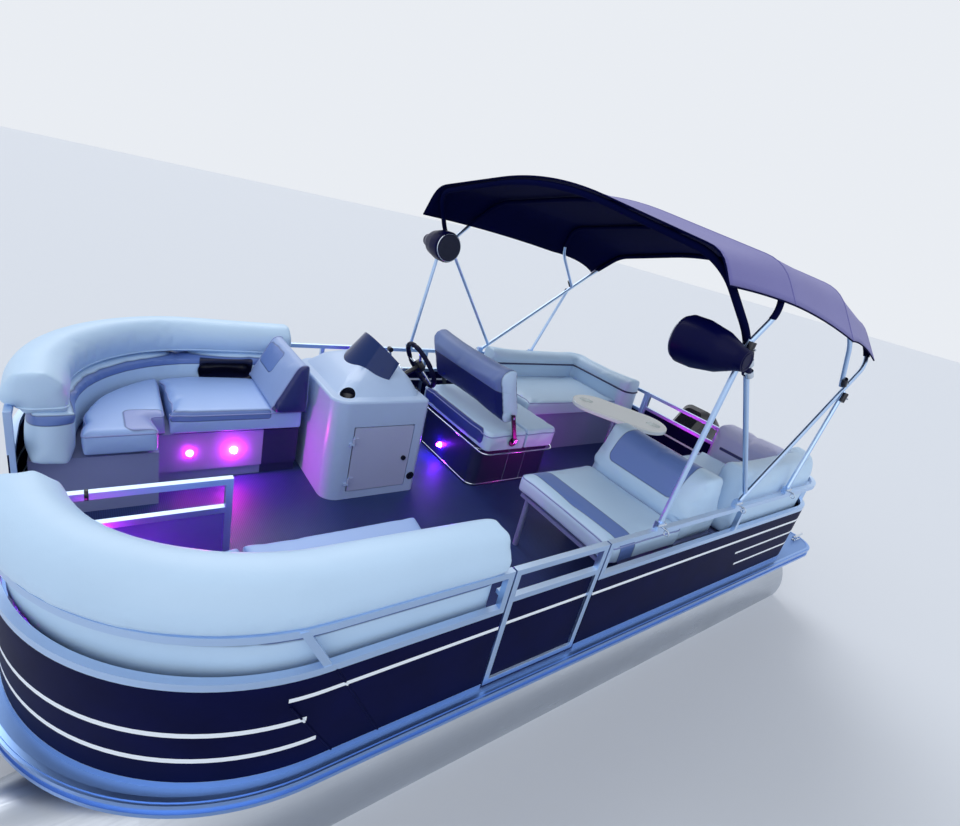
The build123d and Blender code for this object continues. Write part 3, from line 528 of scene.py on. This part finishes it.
def piping(name, pad, where, way, radius, material, body="boat"):
    """A sewn cord let into the seam round a filled cushion, where a plane crosses it."""
    welt = bpy.data.objects.new(name, pad.data.copy())
    scene.collection.objects.link(welt)
    grab(welt)
    bpy.ops.object.mode_set(mode="EDIT")
    bpy.ops.mesh.select_all(action="SELECT")
    bpy.ops.mesh.bisect(plane_co=at(*where), plane_no=way, clear_outer=True, clear_inner=True)
    bpy.ops.mesh.select_all(action="SELECT")
    bpy.ops.mesh.remove_doubles(threshold=0.006)
    bpy.ops.object.mode_set(mode="OBJECT")
    bpy.ops.object.convert(target="CURVE")
    welt.data.bevel_depth, welt.data.bevel_resolution = radius / 1000, 2
    bpy.ops.object.convert(target="MESH")
    bpy.ops.object.shade_smooth()
    return settle(welt, material, body)


FORE, AFT, PORT, STARBOARD, UP, DOWN = (1, 0, 0), (-1, 0, 0), (0, 1, 0), (0, -1, 0), (0, 0, 1), (0, 0, -1)
# heights over the deck: the shells' tops at the bow and aft, and the cushions' top seams
BOW_SHELL, AFT_SHELL, BOW_SEAM, AFT_SEAM = 303, 338, 414, 438
VINYL, SLATE, NAVY, GREY = "#c4e2ff", "#6480c0", "#16235a", "#8d9cd2"
shell = moulded("rotomoulded_seat_shell", "#8590bf", 0.5)
coat(shell, "bow_base_port", "aft_base_port", "aft_base_starboard")
# the starboard bow shell's aft end is drawn dark: a kick panel and partly painted shade
coat(moulded("rotomoulded_seat_shell_kick_painted_shade", "#8590bf", 0.5, kick_and_shade_to=3185), "bow_base_starboard")
light_vinyl = marine_vinyl("marine_vinyl_light", VINYL)
welt_vinyl = marine_vinyl("marine_vinyl_piping", GREY)
# the bow seat cushions are the light vinyl drawn darker, as painted shade; the starboard ones also carry a
# slate and a grey panel
shaded_seat_vinyl = marine_vinyl("marine_vinyl_seat_painted_shade", "#9dbcf2")
shaded_starboard_seats = marine_vinyl("marine_vinyl_starboard_seat_painted_shade", "#9dbcf2", (
    (SLATE, (3410, -480, 408), (246, 60, 24), 12), (GREY, (3765, -430, 380), (97, 112, 80), 42)))
# the starboard back pad: a slate band, and its pocket recess drawn near-black, as painted shade
pocket_shaded_vinyl = marine_vinyl("marine_vinyl_pocket_back_painted_shade", VINYL, (
    (SLATE, (3500, 0, 522), (3000, 3000, 22), 6), ("#060b32", (3292, -1068, 425), (150, 122, 110), 10)))
roll_foot_vinyl = marine_vinyl("marine_vinyl_back_port", VINYL, (
    (SLATE, (3500, 0, 522), (3000, 3000, 22), 6),))

seats = [
    cover("bow_cushion_starboard_aft", "bow_seat_starboard", (((3662, 0, 0), FORE),), rest=BOW_SHELL),
    cover("bow_cushion_starboard_fore", "bow_seat_starboard", (((3668, 0, 0), AFT),), rest=BOW_SHELL),
    cover("bow_cushion_port_aft", "bow_seat_port", (((3562, 0, 0), FORE),), rest=BOW_SHELL),
    cover("bow_cushion_port_fore", "bow_seat_port", (((3568, 0, 0), AFT),), rest=BOW_SHELL),
]
fill(*seats, cap=24, crown=14)
for pad in seats:
    side, vinyl = ("starboard", shaded_starboard_seats) if "starboard" in pad.name else ("port", shaded_seat_vinyl)
    settle(pad, vinyl, "boat", "bow_seat_" + side)
    piping(pad.name + "_welt", pad, (0, 0, BOW_SEAM), UP, 4, welt_vinyl)

rolls = []
for side in ("port", "starboard"):
    rolls.append(cover("bow_roll_" + side, "bow_back_" + side, (((0, 0, 536), DOWN),), voxel=18))
    rolls.append(cover("bow_pad_" + side, "bow_back_" + side, (((0, 0, 560), UP),), voxel=18,
                       rest=BOW_SHELL))
fill(*rolls, cap=20, crown=6)
for pad in rolls:
    side, vinyl = ("starboard", pocket_shaded_vinyl) if "starboard" in pad.name else ("port", roll_foot_vinyl)
    settle(pad, light_vinyl if "roll" in pad.name else vinyl, "boat", "bow_back_" + side)
    if "roll" in pad.name:
        piping(pad.name + "_welt", pad, (0, 0, 578), UP, 5, light_vinyl)

chaise_vinyl = marine_vinyl("marine_vinyl_chaise", "#97b0e2", (
    (SLATE, (3040, -860, 620), (400, 130, 62), 40), ("#1c2766", (3000, -390, 600), (400, 86, 400), 6)))
chaise = cover("chaise_cushion", "chaise_back", (((2987, 0, 428), DOWN),), voxel=13, rest=432)
fill(chaise, cap=20, crown=4)
settle(chaise, chaise_vinyl, "boat", "chaise_back")
piping("chaise_welt_port", chaise, (0, -476, 0), PORT, 4, welt_vinyl)
piping("chaise_welt_starboard", chaise, (0, -996, 0), PORT, 4, welt_vinyl)

# The helm console is one thermoformed ABS shell, satin off-white, with a locker door on
# its port side. A hood of smoked acrylic is screwed round the instruments.


def gloss_shell(name, colour, rough, shine=0.5):
    """Thermoformed ABS with an acrylic cap: smooth, faint orange peel under the shine."""
    mat, tree, shader, place = finish(name, colour, rough)
    shader.inputs["IOR"].default_value = 1.5
    shader.inputs["Specular IOR Level"].default_value = shine
    peel = add(tree, "TexNoise", {"Vector": place, "Scale": 90.0, "Detail": 2.0})
    slow = add(tree, "TexNoise", {"Vector": place, "Scale": 3.0, "Detail": 4.0})
    tone = add(tree, "MixRGB", {0: slow, 1: hue(colour), 2: hue(colour, 0.86)})
    feed(tree, tone, shader, "Base Color")
    gleam(tree, shader, slow, rough - 0.06, rough + 0.14)
    relief(tree, shader, peel, 0.15, 0.0005)
    return mat


console_abs = gloss_shell("thermoformed_console", "#b4cdf2", 0.28)
door_abs = gloss_shell("locker_door_abs", "#b4c0e2", 0.32)
dark_abs = gloss_shell("black_abs_trim", "#0d1022", 0.24)
console = softened("console_shell", "console", 7, 30, 3)
settle(console, console_abs, "boat", "console")
console.data.materials.append(dark_abs)
# the cup well's wall and the latch's recess are dark
cup = at(2835, -245, 0).xy
for face in console.data.polygons:
    if (face.center.xy - cup).length < 0.0425 and abs(face.normal.z) < 0.3:
        face.material_index = 1
door = softened("console_door_leaf", "console_door", 3, 30, 3)
settle(door, door_abs, "console_door", "console_door")
door.data.materials.append(dark_abs)
latch = at(2464, -146.5, 249)
for face in door.data.polygons:
    if (face.center.xz - latch.xz).length < 0.018 and face.center.y > latch.y:
        face.material_index = 1

# polished stainless steel: a sharp shine, broken by finger smears
bright, tree, shader, place = finish("polished_stainless", "#c9d2de", 0.12, 1.0)
smear = add(tree, "TexNoise", {"Vector": place, "Scale": 14.0, "Detail": 4.0})
gleam(tree, shader, smear, 0.06, 0.22)

# fittings on the console: a cup well, dials on its aft slope, switches, an air grille
turned("cup_well", at(2835, -245, 561), at(2835, -245, 622), 41, dark_abs, dish=34)
slope = Vector((-0.79, 0, 0.61))
for nth, y in enumerate((-690, -615, -540, -465)):
    seat = at(2412, y, 708)
    turned("dial_%d" % nth, seat - slope * 0.006, seat + slope * 0.009, 25, bright, dish=3, core=dark_abs)
for nth, y in enumerate((-330, -300, -270)):
    seat = at(2380, y, 640)
    turned("switch_%d" % nth, seat + Vector((-0.01, 0, 0)), seat + Vector((-0.014, 0, 0.003)), 9,
           dark_abs, sides=12)
turned("speaker_grille_console", at(2386, -160, 110), at(2386, -146, 110), 26, dark_abs, dish=4)
for nth, z in enumerate((560, 420, 300)):
    strip("wheel_cable_clip_%d" % nth, [at(2345, -820, z), at(2339, -820, z + 16)], 5, dark_abs)

# the throttle is a cast box on the console's aft face with a bent lever and a ball knob
box_at = at(2352, -800, 585)
turned("throttle_base", box_at, box_at + Vector((-0.045, 0, 0)), 52, dark_abs, dish=3, ease=5)
lever = (2318, -800, 590), (2300, -800, 640), (2322, -790, 700), (2332, -788, 722)
strip("throttle_lever", [at(*spot) for spot in lever], 8, bright)
turned("throttle_knob", at(2330, -805, 724), at(2330, -765, 724), 17, dark_abs, ease=8, dish=1)


def smoked_acrylic(name):
    """Cast acrylic, smoked nearly black: clear gloss, light scratches, a little see-through."""
    mat, tree, shader, place = finish(name, "#0b2c68", 0.1)
    shader.inputs["Transmission Weight"].default_value = 0.15
    shader.inputs["Specular IOR Level"].default_value = 0.2
    shader.inputs["IOR"].default_value = 1.49
    rub = add(tree, "TexNoise", {"Vector": place, "Scale": 40.0, "Detail": 6.0})
    gleam(tree, shader, rub, 0.02, 0.16)
    return mat


coat(smoked_acrylic("smoked_acrylic"), "windscreen")
grip = gloss_shell("soft_grip_urethane", "#050a30", 0.5, 0.12)

# the wheel's rim is soft grip on a stainless frame with a moulded hub
wheel = softened("helm_wheel", "steering_wheel", 1.5, 60)
settle(wheel, grip, "steering_wheel", "steering_wheel")
for extra in (bright, dark_abs):
    wheel.data.materials.append(extra)
hub, column = at(2262, -470, 730), Vector((-0.864, 0, 0.503))
for face in wheel.data.polygons:
    arm = face.center - hub
    out = (arm - column * arm.dot(column)).length
    face.material_index = 0 if out > 0.128 else 1 if out > 0.044 else 2
turned("wheel_hub_cap", hub - column * 0.002, hub + column * 0.014, 31, dark_abs, "steering_wheel",
       ease=5, dish=2)
hoop("wheel_hub_ring", hub + column * 0.008, column, 31, 2.5, bright, "steering_wheel")
across, rise = Vector((0, 1, 0)), Vector((0.503, 0, 0.864))
for nth in range(15):
    turn = math.radians(24 * nth)
    spot = hub + (across * math.cos(turn) + rise * math.sin(turn)) * 0.1505
    along = (rise * math.cos(turn) - across * math.sin(turn)) * 0.022
    turned("wheel_grip_%d" % nth, spot - along, spot + along, 15.5, grip, "steering_wheel",
           ease=5, dish=1, sides=16)

# The helm seat is a cushion on a moulded pedestal, with a stuffed roll for a back that
# flips over on two arms, so that it can be used facing either way.
pedestal = moulded("moulded_pedestal", "#20294f", 0.4)
coat(pedestal, "helm_base")
helm_vinyl = marine_vinyl("marine_vinyl_helm_seat", VINYL, (
    ("#33448c", (1985, -415, 398), (88, 374, 50), 42),))
helm_back_vinyl = marine_vinyl("marine_vinyl_helm_back", "#6f86bd", (
    ("#111f62", (1990, -415, 560), (110, 900, 170), 10),
    *[(VINYL, (1800, y, 720), (400, 22, 400), 10) for y in (20, -850)]))
helm_ends = ((0, 16, 0), PORT), ((0, -846, 0), STARBOARD)
helm_seats = [cover("helm_cushion_" + tag, "helm_seat", (*helm_ends, split), voxel=15, rest=308)
              for tag, split in (("fore", ((1646, 0, 0), AFT)), ("aft", ((1640, 0, 0), FORE)))]
helm_back = cover("helm_back_roll", "helm_back", (
    ((1800, 19, 0), PORT), ((1800, -849, 0), STARBOARD), ((1800, -400, 512), DOWN)), voxel=15)
fill(*helm_seats, helm_back, cap=22, crown=6)
for pad in helm_seats:
    settle(pad, helm_vinyl, "boat", "helm_seat")
    piping(pad.name + "_welt", pad, (0, 0, 425), UP, 4, welt_vinyl)
settle(helm_back, helm_back_vinyl, "helm_back", "helm_back")
# each arm: which way is out, and the places of its inner and outer face
for tag, out, inner, outer in (("port", 1, 20, 46), ("starboard", -1, -850, -876)):
    freed = ((1800, inner + out, 400), STARBOARD if out > 0 else PORT), ((1820, 0, 590), UP)
    settle(softened("helm_arm_" + tag, "helm_back", 1.5, 40, 2, freed), dark_abs, "helm_back", "helm_back")
    screw = [at(1822, y, 566) for y in (inner - 12 * out, (inner * 3 + outer) / 4 + 14 * out)]
    turned("helm_arm_screw_" + tag, *screw, 9, bright, "helm_back", dish=1)
    turned("helm_pivot_" + tag, at(1760, inner, 400), at(1760, outer, 400), 13, bright, dish=1)
    plate = [at(1760, y, 388) for y in (inner * 0.98, (inner * 7 + outer) / 8)]
    turned("helm_pivot_plate_" + tag, *plate, 34, dark_abs, ease=1, dish=0.5)
piping("seat_pan_trim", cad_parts["helm_seat"], (0, 0, 304), UP, 6, bright)
piping("pedestal_trim_top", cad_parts["helm_base"], (0, 0, 284), UP, 6, bright)
piping("pedestal_trim_foot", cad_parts["helm_base"], (0, 0, 14), UP, 6, bright)
for nth, x in enumerate((1660, 1510)):
    strip("pedestal_rib_%d" % nth, [at(x, -90, 284), at(x, -90, 14)], 4, bright)

# The port bench is a cushion and a leaning back on a bent tube frame over open legs,
# beside a moulded box.
coat(shell, "bench_frame")
bench_vinyl = marine_vinyl("marine_vinyl_bench", VINYL, ((SLATE, (1957, 820, 440), (55, 900, 200), 8),))
bench_back_vinyl = marine_vinyl("marine_vinyl_bench_back", VINYL, (
    (SLATE, (1500, 800, 640), (400, 240, 100), 45),))
bench = cover("bench_cushion", "bench_seat", voxel=15, rest=345)
bench_back = cover("bench_back_cushion", "bench_back", voxel=17, rest=AFT_SHELL)
fill(bench, bench_back, cap=22, crown=8)
settle(bench, bench_vinyl, "boat", "bench_seat")
settle(bench_back, bench_back_vinyl, "boat", "bench_back")
piping("bench_welt", bench, (0, 0, AFT_SEAM), UP, 4, welt_vinyl)

# The table is a moulded oval top with a cup recess at each end, on a turned post. It is
# white and glossy; the post is polished, as the cleats and the ladder are.
table_abs = gloss_shell("moulded_table_top", "#f6feff", 0.12, 1.0)
settle(softened("table_leaf", "table_top", 4, 30, 3), table_abs, "boat", "table_top")
coat(bright, "table_post", "cleats", "ladder")

# The aft seats are cushions on moulded shells: a tall roll fills the port corner, and a
# lower one is carried round the starboard corner.
aft_back_vinyl = marine_vinyl("marine_vinyl_aft_back", "#c3c6ea", (
    ("#2a2f66", (230, 700, 515), (40, 105, 10), 8),))
navy_vinyl = marine_vinyl("marine_vinyl_navy_piping", NAVY)
aft = [
    cover("aft_cushion_port", "aft_seat_port", rest=AFT_SHELL),
    cover("aft_bolster_roll", "aft_bolster_port", voxel=18, rest=AFT_SHELL),
    cover("aft_back_cushion", "aft_back_port", voxel=14, rest=AFT_SHELL),
    cover("aft_cushion_starboard", "aft_seat_starboard", rest=AFT_SHELL),
    cover("aft_roll_starboard", "aft_back_starboard", voxel=18, rest=AFT_SHELL),
]
fill(*aft, cap=20, crown=6)
for pad, node in zip(aft, ("aft_seat_port", "aft_bolster_port", "aft_back_port",
                           "aft_seat_starboard", "aft_back_starboard")):
    settle(pad, aft_back_vinyl if node == "aft_back_port" else light_vinyl, "boat", node)
    if "cushion" in pad.name and "back" not in pad.name:
        piping(pad.name + "_welt", pad, (0, 0, AFT_SEAM), UP, 4, welt_vinyl)
piping("aft_roll_welt", aft[4], (0, 0, 560), UP, 8, navy_vinyl)

# The canopy is one panel of acrylic canvas stretched over four bent tube bows, faded in
# patches outside, bound along its scalloped hems; its underside is drawn near-black, as painted shade.


def rounded_run(points, radii, count):
    """Even points along straight runs joined by arcs."""
    pts, line = [Vector(p) for p in points], []
    last = pts[0]
    for a, b, c, r in zip(pts, pts[1:], pts[2:], radii):
        u, w = (b - a).normalized(), (c - b).normalized()
        half = math.acos(max(-1, min(1, u.dot(w)))) / 2
        cut = min(r * math.tan(half), 0.48 * (b - a).length, 0.48 * (c - b).length)
        p, q = b - u * cut, b + w * cut
        line.append((last, p))
        for i in range(12):
            s, t = i / 12, (i + 1) / 12
            line.append(tuple(p.lerp(b, k).lerp(b.lerp(q, k), k) for k in (s, t)))
        last = q
    line.append((last, pts[-1]))
    total = sum((b - a).length for a, b in line)
    out, gone, want = [], 0.0, 0.0
    for a, b in line:
        span = (b - a).length
        while want <= gone + span + 1e-9 and len(out) <= count:
            out.append(a.lerp(b, (want - gone) / span if span else 0))
            want += total / count
        gone += span
    while len(out) <= count:
        out.append(pts[-1])
    return out


# stations: along the boat, a point below the hem (across, up), shoulder (across, up), crown
stations = ((60, (1200, 1440), (1027, 1629), 1866), (690, (1225, 1545), (1059, 1776), 1961),
            (1470, (1247, 1610), (1084, 1829), 2000), (2010, (1241, 1590), (1101, 1805), 1998))
# the cloth's squares across and between stations, and how far it sags between two bows
ACROSS, STEPS, DIP = 72, 14, 9
rows = []
for (xa, ha, sa, ca), (xb, hb, sb, cb) in zip(stations, stations[1:]):
    for i in range(STEPS):
        t = i / STEPS
        low, shoulder = [[p + (q - p) * t for p, q in zip(a, b)] for a, b in ((ha, hb), (sa, sb))]
        rows.append((xa + (xb - xa) * t, low, shoulder, ca + (cb - ca) * t, 4 * t * (1 - t)))
rows.append((*stations[-1], 0.0))
# the hems, port and starboard: from and to (along, up), and how hollow the cloth hangs
# between those bows; the panel is pulled a little to starboard
hems = {1: (((60, 1436), (690, 1540), 25), ((690, 1540), (2010, 1685), 38)),
        -1: (((60, 1420), (690, 1530), 25), ((690, 1530), (2010, 1600), 15))}


def hem(x, side, hy, hz, sy, sz):
    """Where the hem runs on one side, on the cloth's own slope up to its shoulder."""
    for (xa, za), (xb, zb), deep in hems[side]:
        if x <= xb:
            t = (x - xa) / (xb - xa)
            up = za + (zb - za) * t + 4 * deep * t * (1 - t)
            return x, side * (hy + (sy - hy) * (up - hz) / (sz - hz)), up


bpy.ops.object.select_all(action="DESELECT")
bpy.ops.mesh.primitive_grid_add(x_subdivisions=len(rows) - 1, y_subdivisions=ACROSS, size=1)
cloth = bpy.context.object
cloth.name = "canopy_canvas"
spots = []
for x, (hy, hz), (sy, sz), crown, slack in rows:
    port_hem, starboard_hem = [hem(x, side, hy, hz, sy, sz) for side in (1, -1)]
    run = rounded_run([port_hem, (x, sy, sz), (x, 0, crown), (x, -sy, sz), starboard_hem],
                      (240, 2400, 240), ACROSS)
    # the aft edge leans with the rear bow, which bends at a height of 1625
    lean = max(0.0, 1 - (x - 60) / 630)
    spots.append([])
    for j, p in enumerate(run):
        fore = lean * (1625 - p.z) * (0.45 if p.z < 1625 else 0.085)
        sag = DIP * slack * math.sin(math.pi * j / ACROSS) ** 0.5
        spots[-1].append(Vector((p.x + fore, p.y, p.z - sag)))
corners = sorted(cloth.data.vertices, key=lambda v: (round(v.co.x, 4), round(v.co.y, 4)))
for nth, corner in enumerate(corners):
    i, j = divmod(nth, ACROSS + 1)
    corner.co = at(*spots[i][ACROSS - j])
grab(cloth)
bpy.ops.object.mode_set(mode="EDIT")
bpy.ops.mesh.select_all(action="SELECT")
bpy.ops.mesh.normals_make_consistent(inside=False)
bpy.ops.object.mode_set(mode="OBJECT")
if cloth.data.polygons[len(cloth.data.polygons) // 2].normal.z < 0:
    cloth.data.flip_normals()


def canvas(name, colour, shade, sheen, shine):
    """Solution-dyed acrylic canvas; real thread 0.5 mm, drawn at 5 mm so that it shows."""
    mat, tree, shader, place = finish(name, colour, 0.85)
    shader.inputs["Sheen Weight"].default_value = sheen
    shader.inputs["Specular IOR Level"].default_value = shine
    warp = add(tree, "TexWave", {"Vector": place, "Scale": 62.0}, bands_direction="X")
    weft = add(tree, "TexWave", {"Vector": place, "Scale": 62.0}, bands_direction="Y")
    weave = add(tree, "Math", {0: warp.outputs[1], 1: weft.outputs[1]}, operation="MULTIPLY")
    faded = add(tree, "TexNoise", {"Vector": place, "Scale": 1.6, "Detail": 4.0})
    tone = add(tree, "MixRGB", {0: faded, 1: hue(colour), 2: hue(shade)})
    feed(tree, tone, shader, "Base Color")
    relief(tree, shader, weave, 0.4, 0.0008)
    return mat


outside = canvas("acrylic_canvas_outside", "#7d7cbc", "#6866a6", 0.25, 0.2)
# the underside's canvas is drawn near-black: painted shade under the canopy
shaded_underside_cloth = canvas("acrylic_canvas_underside_painted_shade", "#040a3c", "#020628", 0.0, 0.03)
# the hems' bindings: the aft one in the outside canvas, the others in the near-black underside copy,
# painted shade
for tag, line in (("port", [row[0] for row in spots]), ("starboard", [row[-1] for row in spots]),
                  ("aft", spots[0]), ("fore", spots[-1])):
    strip("canopy_binding_" + tag, [at(*p) for p in line], 4, outside if tag == "aft" else shaded_underside_cloth)
# a sewn seam over each middle bow, laid just outside the cloth
for nth, x in enumerate((690, 1470)):
    seam = piping("canopy_seam_%d" % nth, cloth, (x + 1, 0, 0), FORE, 2.5, outside)
    for v in seam.data.vertices:
        v.co.y, v.co.z = v.co.y * 1.0016, v.co.z + 0.0018
settle(cloth, outside, "boat", "canopy_cloth")
cloth.data.materials.append(shaded_underside_cloth)
grab(cloth)
apply(cloth, "SOLIDIFY", thickness=0.004, offset=0, material_offset=1)
bpy.ops.object.shade_smooth()
coat(rail_metal, "canopy_rear_bow", "canopy_front_bow", "canopy_mid_bows", "canopy_braces")

# Zipped sleeves of the same canvas hold the bows to the panel and run down to its hems,
# in the underside's near-black painted shade. Each is its bow's tube above a height,
# swollen by the cloth's thickness.
for node, low, thick in (("canopy_front_bow", 1475, 4), ("canopy_mid_bows", 1590, 2),
                         ("canopy_rear_bow", 1445, 4.5)):
    sleeve = trimmed(node.replace("canopy", "sleeve"), node, (((0, 0, low), DOWN),), capped=False)
    apply(sleeve, "DISPLACE", strength=thick / 1000, mid_level=0.0)
    bpy.ops.object.shade_smooth()
    settle(sleeve, shaded_underside_cloth, "boat")

# The speakers are bullet-shaped moulded pods clamped to the front bow. Each has a round
# grille in a stainless ring at its inner end.
POD_X, POD_UP, RAIL_Y, RAIL_UP = 1890, 1425, 1256, 612
pod_black = gloss_shell("speaker_pod_black", "#04073a", 0.3, 0.09)
settle(softened("speaker_pods", "speakers", 4, 50, 3), pod_black, "boat", "speakers")


def grille(name):
    """Punched steel under black enamel; real holes 3 mm at 5 mm, drawn 6 at 10."""
    mat, tree, shader, place = finish(name, "#1a1e30", 0.4, 0.6)
    holes = add(tree, "TexVoronoi", {"Vector": place, "Scale": 100.0, "Randomness": 0.0})
    open_ = add(tree, "Math", {0: holes, 1: 0.3}, operation="LESS_THAN")
    tone = add(tree, "MixRGB", {0: open_, 1: hue("#262b40"), 2: hue("#020308")})
    feed(tree, tone, shader, "Base Color")
    relief(tree, shader, holes, 0.8, 0.002)
    return mat


punched_steel = grille("punched_steel_grille")
front_foot, front_knee = (1152, 1246, 664), (1815, 1234, 1520)
# where each brace or bow leaves its hinge, and a place that it runs towards
hinges = (((388, 1193, 1262), (620, 1203, 1560)), ((1768, 1219, 1440), (1815, 1234, 1520)),
          ((392, 1223, 1236), (620, 1256, 600)), ((1800, 1253, 1500), (1914, 1256, 600)))
for side, tag in ((1, "port"), (-1, "starboard")):
    face, ring, tail, tail_ring, end = [at(POD_X, side * y, POD_UP) for y in (1006, 1001, 1290, 1304, 1309)]
    turned("pod_face_" + tag, face, at(POD_X, side * 992, POD_UP), 92, pod_black, dish=5, ease=3,
           core=punched_steel, sides=48)
    hoop("pod_ring_" + tag, ring, PORT, 95, 4, bright)
    turned("pod_tail_" + tag, tail, end, 34, pod_black, dish=7)
    hoop("pod_tail_ring_" + tag, tail_ring, PORT, 36, 3, pod_black)
    # clamps round the bows: along the front bow at the pod, and at each hinge
    low, high = [at(x, y * side, z) for x, y, z in (front_foot, front_knee)]
    run = (high - low).normalized()
    for nth, far in enumerate((0.80, 0.86, 0.915)):
        spot, half = low.lerp(high, far), run * 0.016
        metal = bright if nth < 2 else dark_abs
        turned("bow_clamp_%s_%d" % (tag, nth), spot - half, spot + half, 19, metal, dish=0.5)
        bolt = Vector((0.034, 0, 0))
        strip("bow_clamp_bolt_%s_%d" % (tag, nth), [spot - bolt, spot + bolt], 5, bright)
    for nth, hinge in enumerate(hinges):
        a, b = [at(x, y * side, z) for x, y, z in hinge]
        aim, pin = (b - a).normalized(), Vector((0, 0.026, 0))
        turned("bow_knuckle_%s_%d" % (tag, nth), a + aim * 0.006, a + aim * 0.062, 17, dark_abs, dish=0.5)
        a += aim * 0.034
        strip("bow_knuckle_pin_%s_%d" % (tag, nth), [a - pin, a + pin], 4, bright)
    if side > 0:
        for nth, z in enumerate((573, 407)):
            turned("gate_strap_%d" % nth, at(4003, 424, z), at(4015, 424, z), 20, dark_abs,
                   "bow_gate", dish=0.5)
    # the clamps on the rail: a cross bolt, a pull pin and its ring
    for nth, x in enumerate((1213, 1914, 620)):
        bolt = [at(x + way, side * RAIL_Y, RAIL_UP) for way in (-31, 31)]
        pin = [at(x, side * y, 604) for y in (1228, 1290)]
        strip("rail_clamp_bolt_%s_%d" % (tag, nth), bolt, 6, bright)
        strip("rail_clamp_pin_%s_%d" % (tag, nth), pin, 5, bright)
        hoop("rail_clamp_ring_%s_%d" % (tag, nth), at(x, side * 1290, 590), FORE, 13, 2.5, bright)

# Courtesy lamps are small lenses in the seat shells: magenta at the bow and violet under
# the helm seat. A low dome stands over each, so that the glow shows from the side too.


def lit_lens(name, colour, light, strength):
    """Ribbed acrylic lens over a lit diode."""
    mat, tree, shader, place = finish(name, colour, 0.2)
    shader.inputs["Emission Color"].default_value = hue(light)
    shader.inputs["Emission Strength"].default_value = strength
    ripple = add(tree, "TexWave", {"Vector": place, "Scale": 60.0})
    relief(tree, shader, ripple, 0.3, 0.001)
    return mat


lamps = softened("lamp_lenses", "courtesy_lamps", 1, 50)
settle(lamps, lit_lens("lamp_lens_magenta", "#ff5cf0", "#ff28e6", 400.0), "boat", "courtesy_lamps")
lamps.data.materials.append(lit_lens("lamp_lens_violet", "#a060ff", "#7a1cff", 260.0))
# the fore one of the starboard pair is weak
VIOLET_AFT_OF, WEAK_FORE_OF = at(2200, 0, 0).x, at(3450, 0, 0).x
lamps.data.materials.append(lit_lens("lamp_lens_weak", "#ff5cf0", "#ff28e6", 60.0))
for face in lamps.data.polygons:
    if face.center.x < VIOLET_AFT_OF:
        face.material_index = 1
    elif face.center.y < 0 and face.center.x > WEAK_FORE_OF:
        face.material_index = 2
magenta, violet, weak = lamps.data.materials
for nth, (foot, top, lens) in enumerate((
        ((3340, -506, 180), (3340, -490, 180), magenta), ((3560, -506, 180), (3560, -490, 180), weak),
        ((4030, 666, 180), (4030, 650, 180), magenta), ((1964, -500, 110), (1980, -500, 110), violet))):
    turned("lamp_dome_%d" % nth, at(*foot), at(*top), 12, lens, ease=4, dish=0.5, sides=20)
turned("lamp_aft_of_helm", at(1276, -420, 120), at(1258, -420, 120), 18, bright, dish=2, core=magenta)
turned("lamp_bench_box", at(1300, 486, 160), at(1300, 468, 160), 18, bright, dish=2, core=magenta)

# The outboard hangs tilted up on its clamp bracket, all in black enamel. Its cowl is
# moulded with wide soft edges, and its leg and propeller are cast.
enamel = gloss_shell("outboard_enamel", "#0b0e1c", 0.2)
coat(enamel, "clamp_bracket", "swivel_bracket")
settle(softened("cowl_shell", "motor_cowl", 16, 12, 4), enamel, "motor", "motor_cowl")
settle(softened("leg_casting", "motor_leg", 4, 30, 2), enamel, "motor", "motor_leg")
coat(bare_sheet("cast_aluminium_block", "#6d7178", 0.6, (1, 1, 1)), "engine_block")
coat(gloss_shell("propeller_enamel", "#1a1c22", 0.3), "propeller")
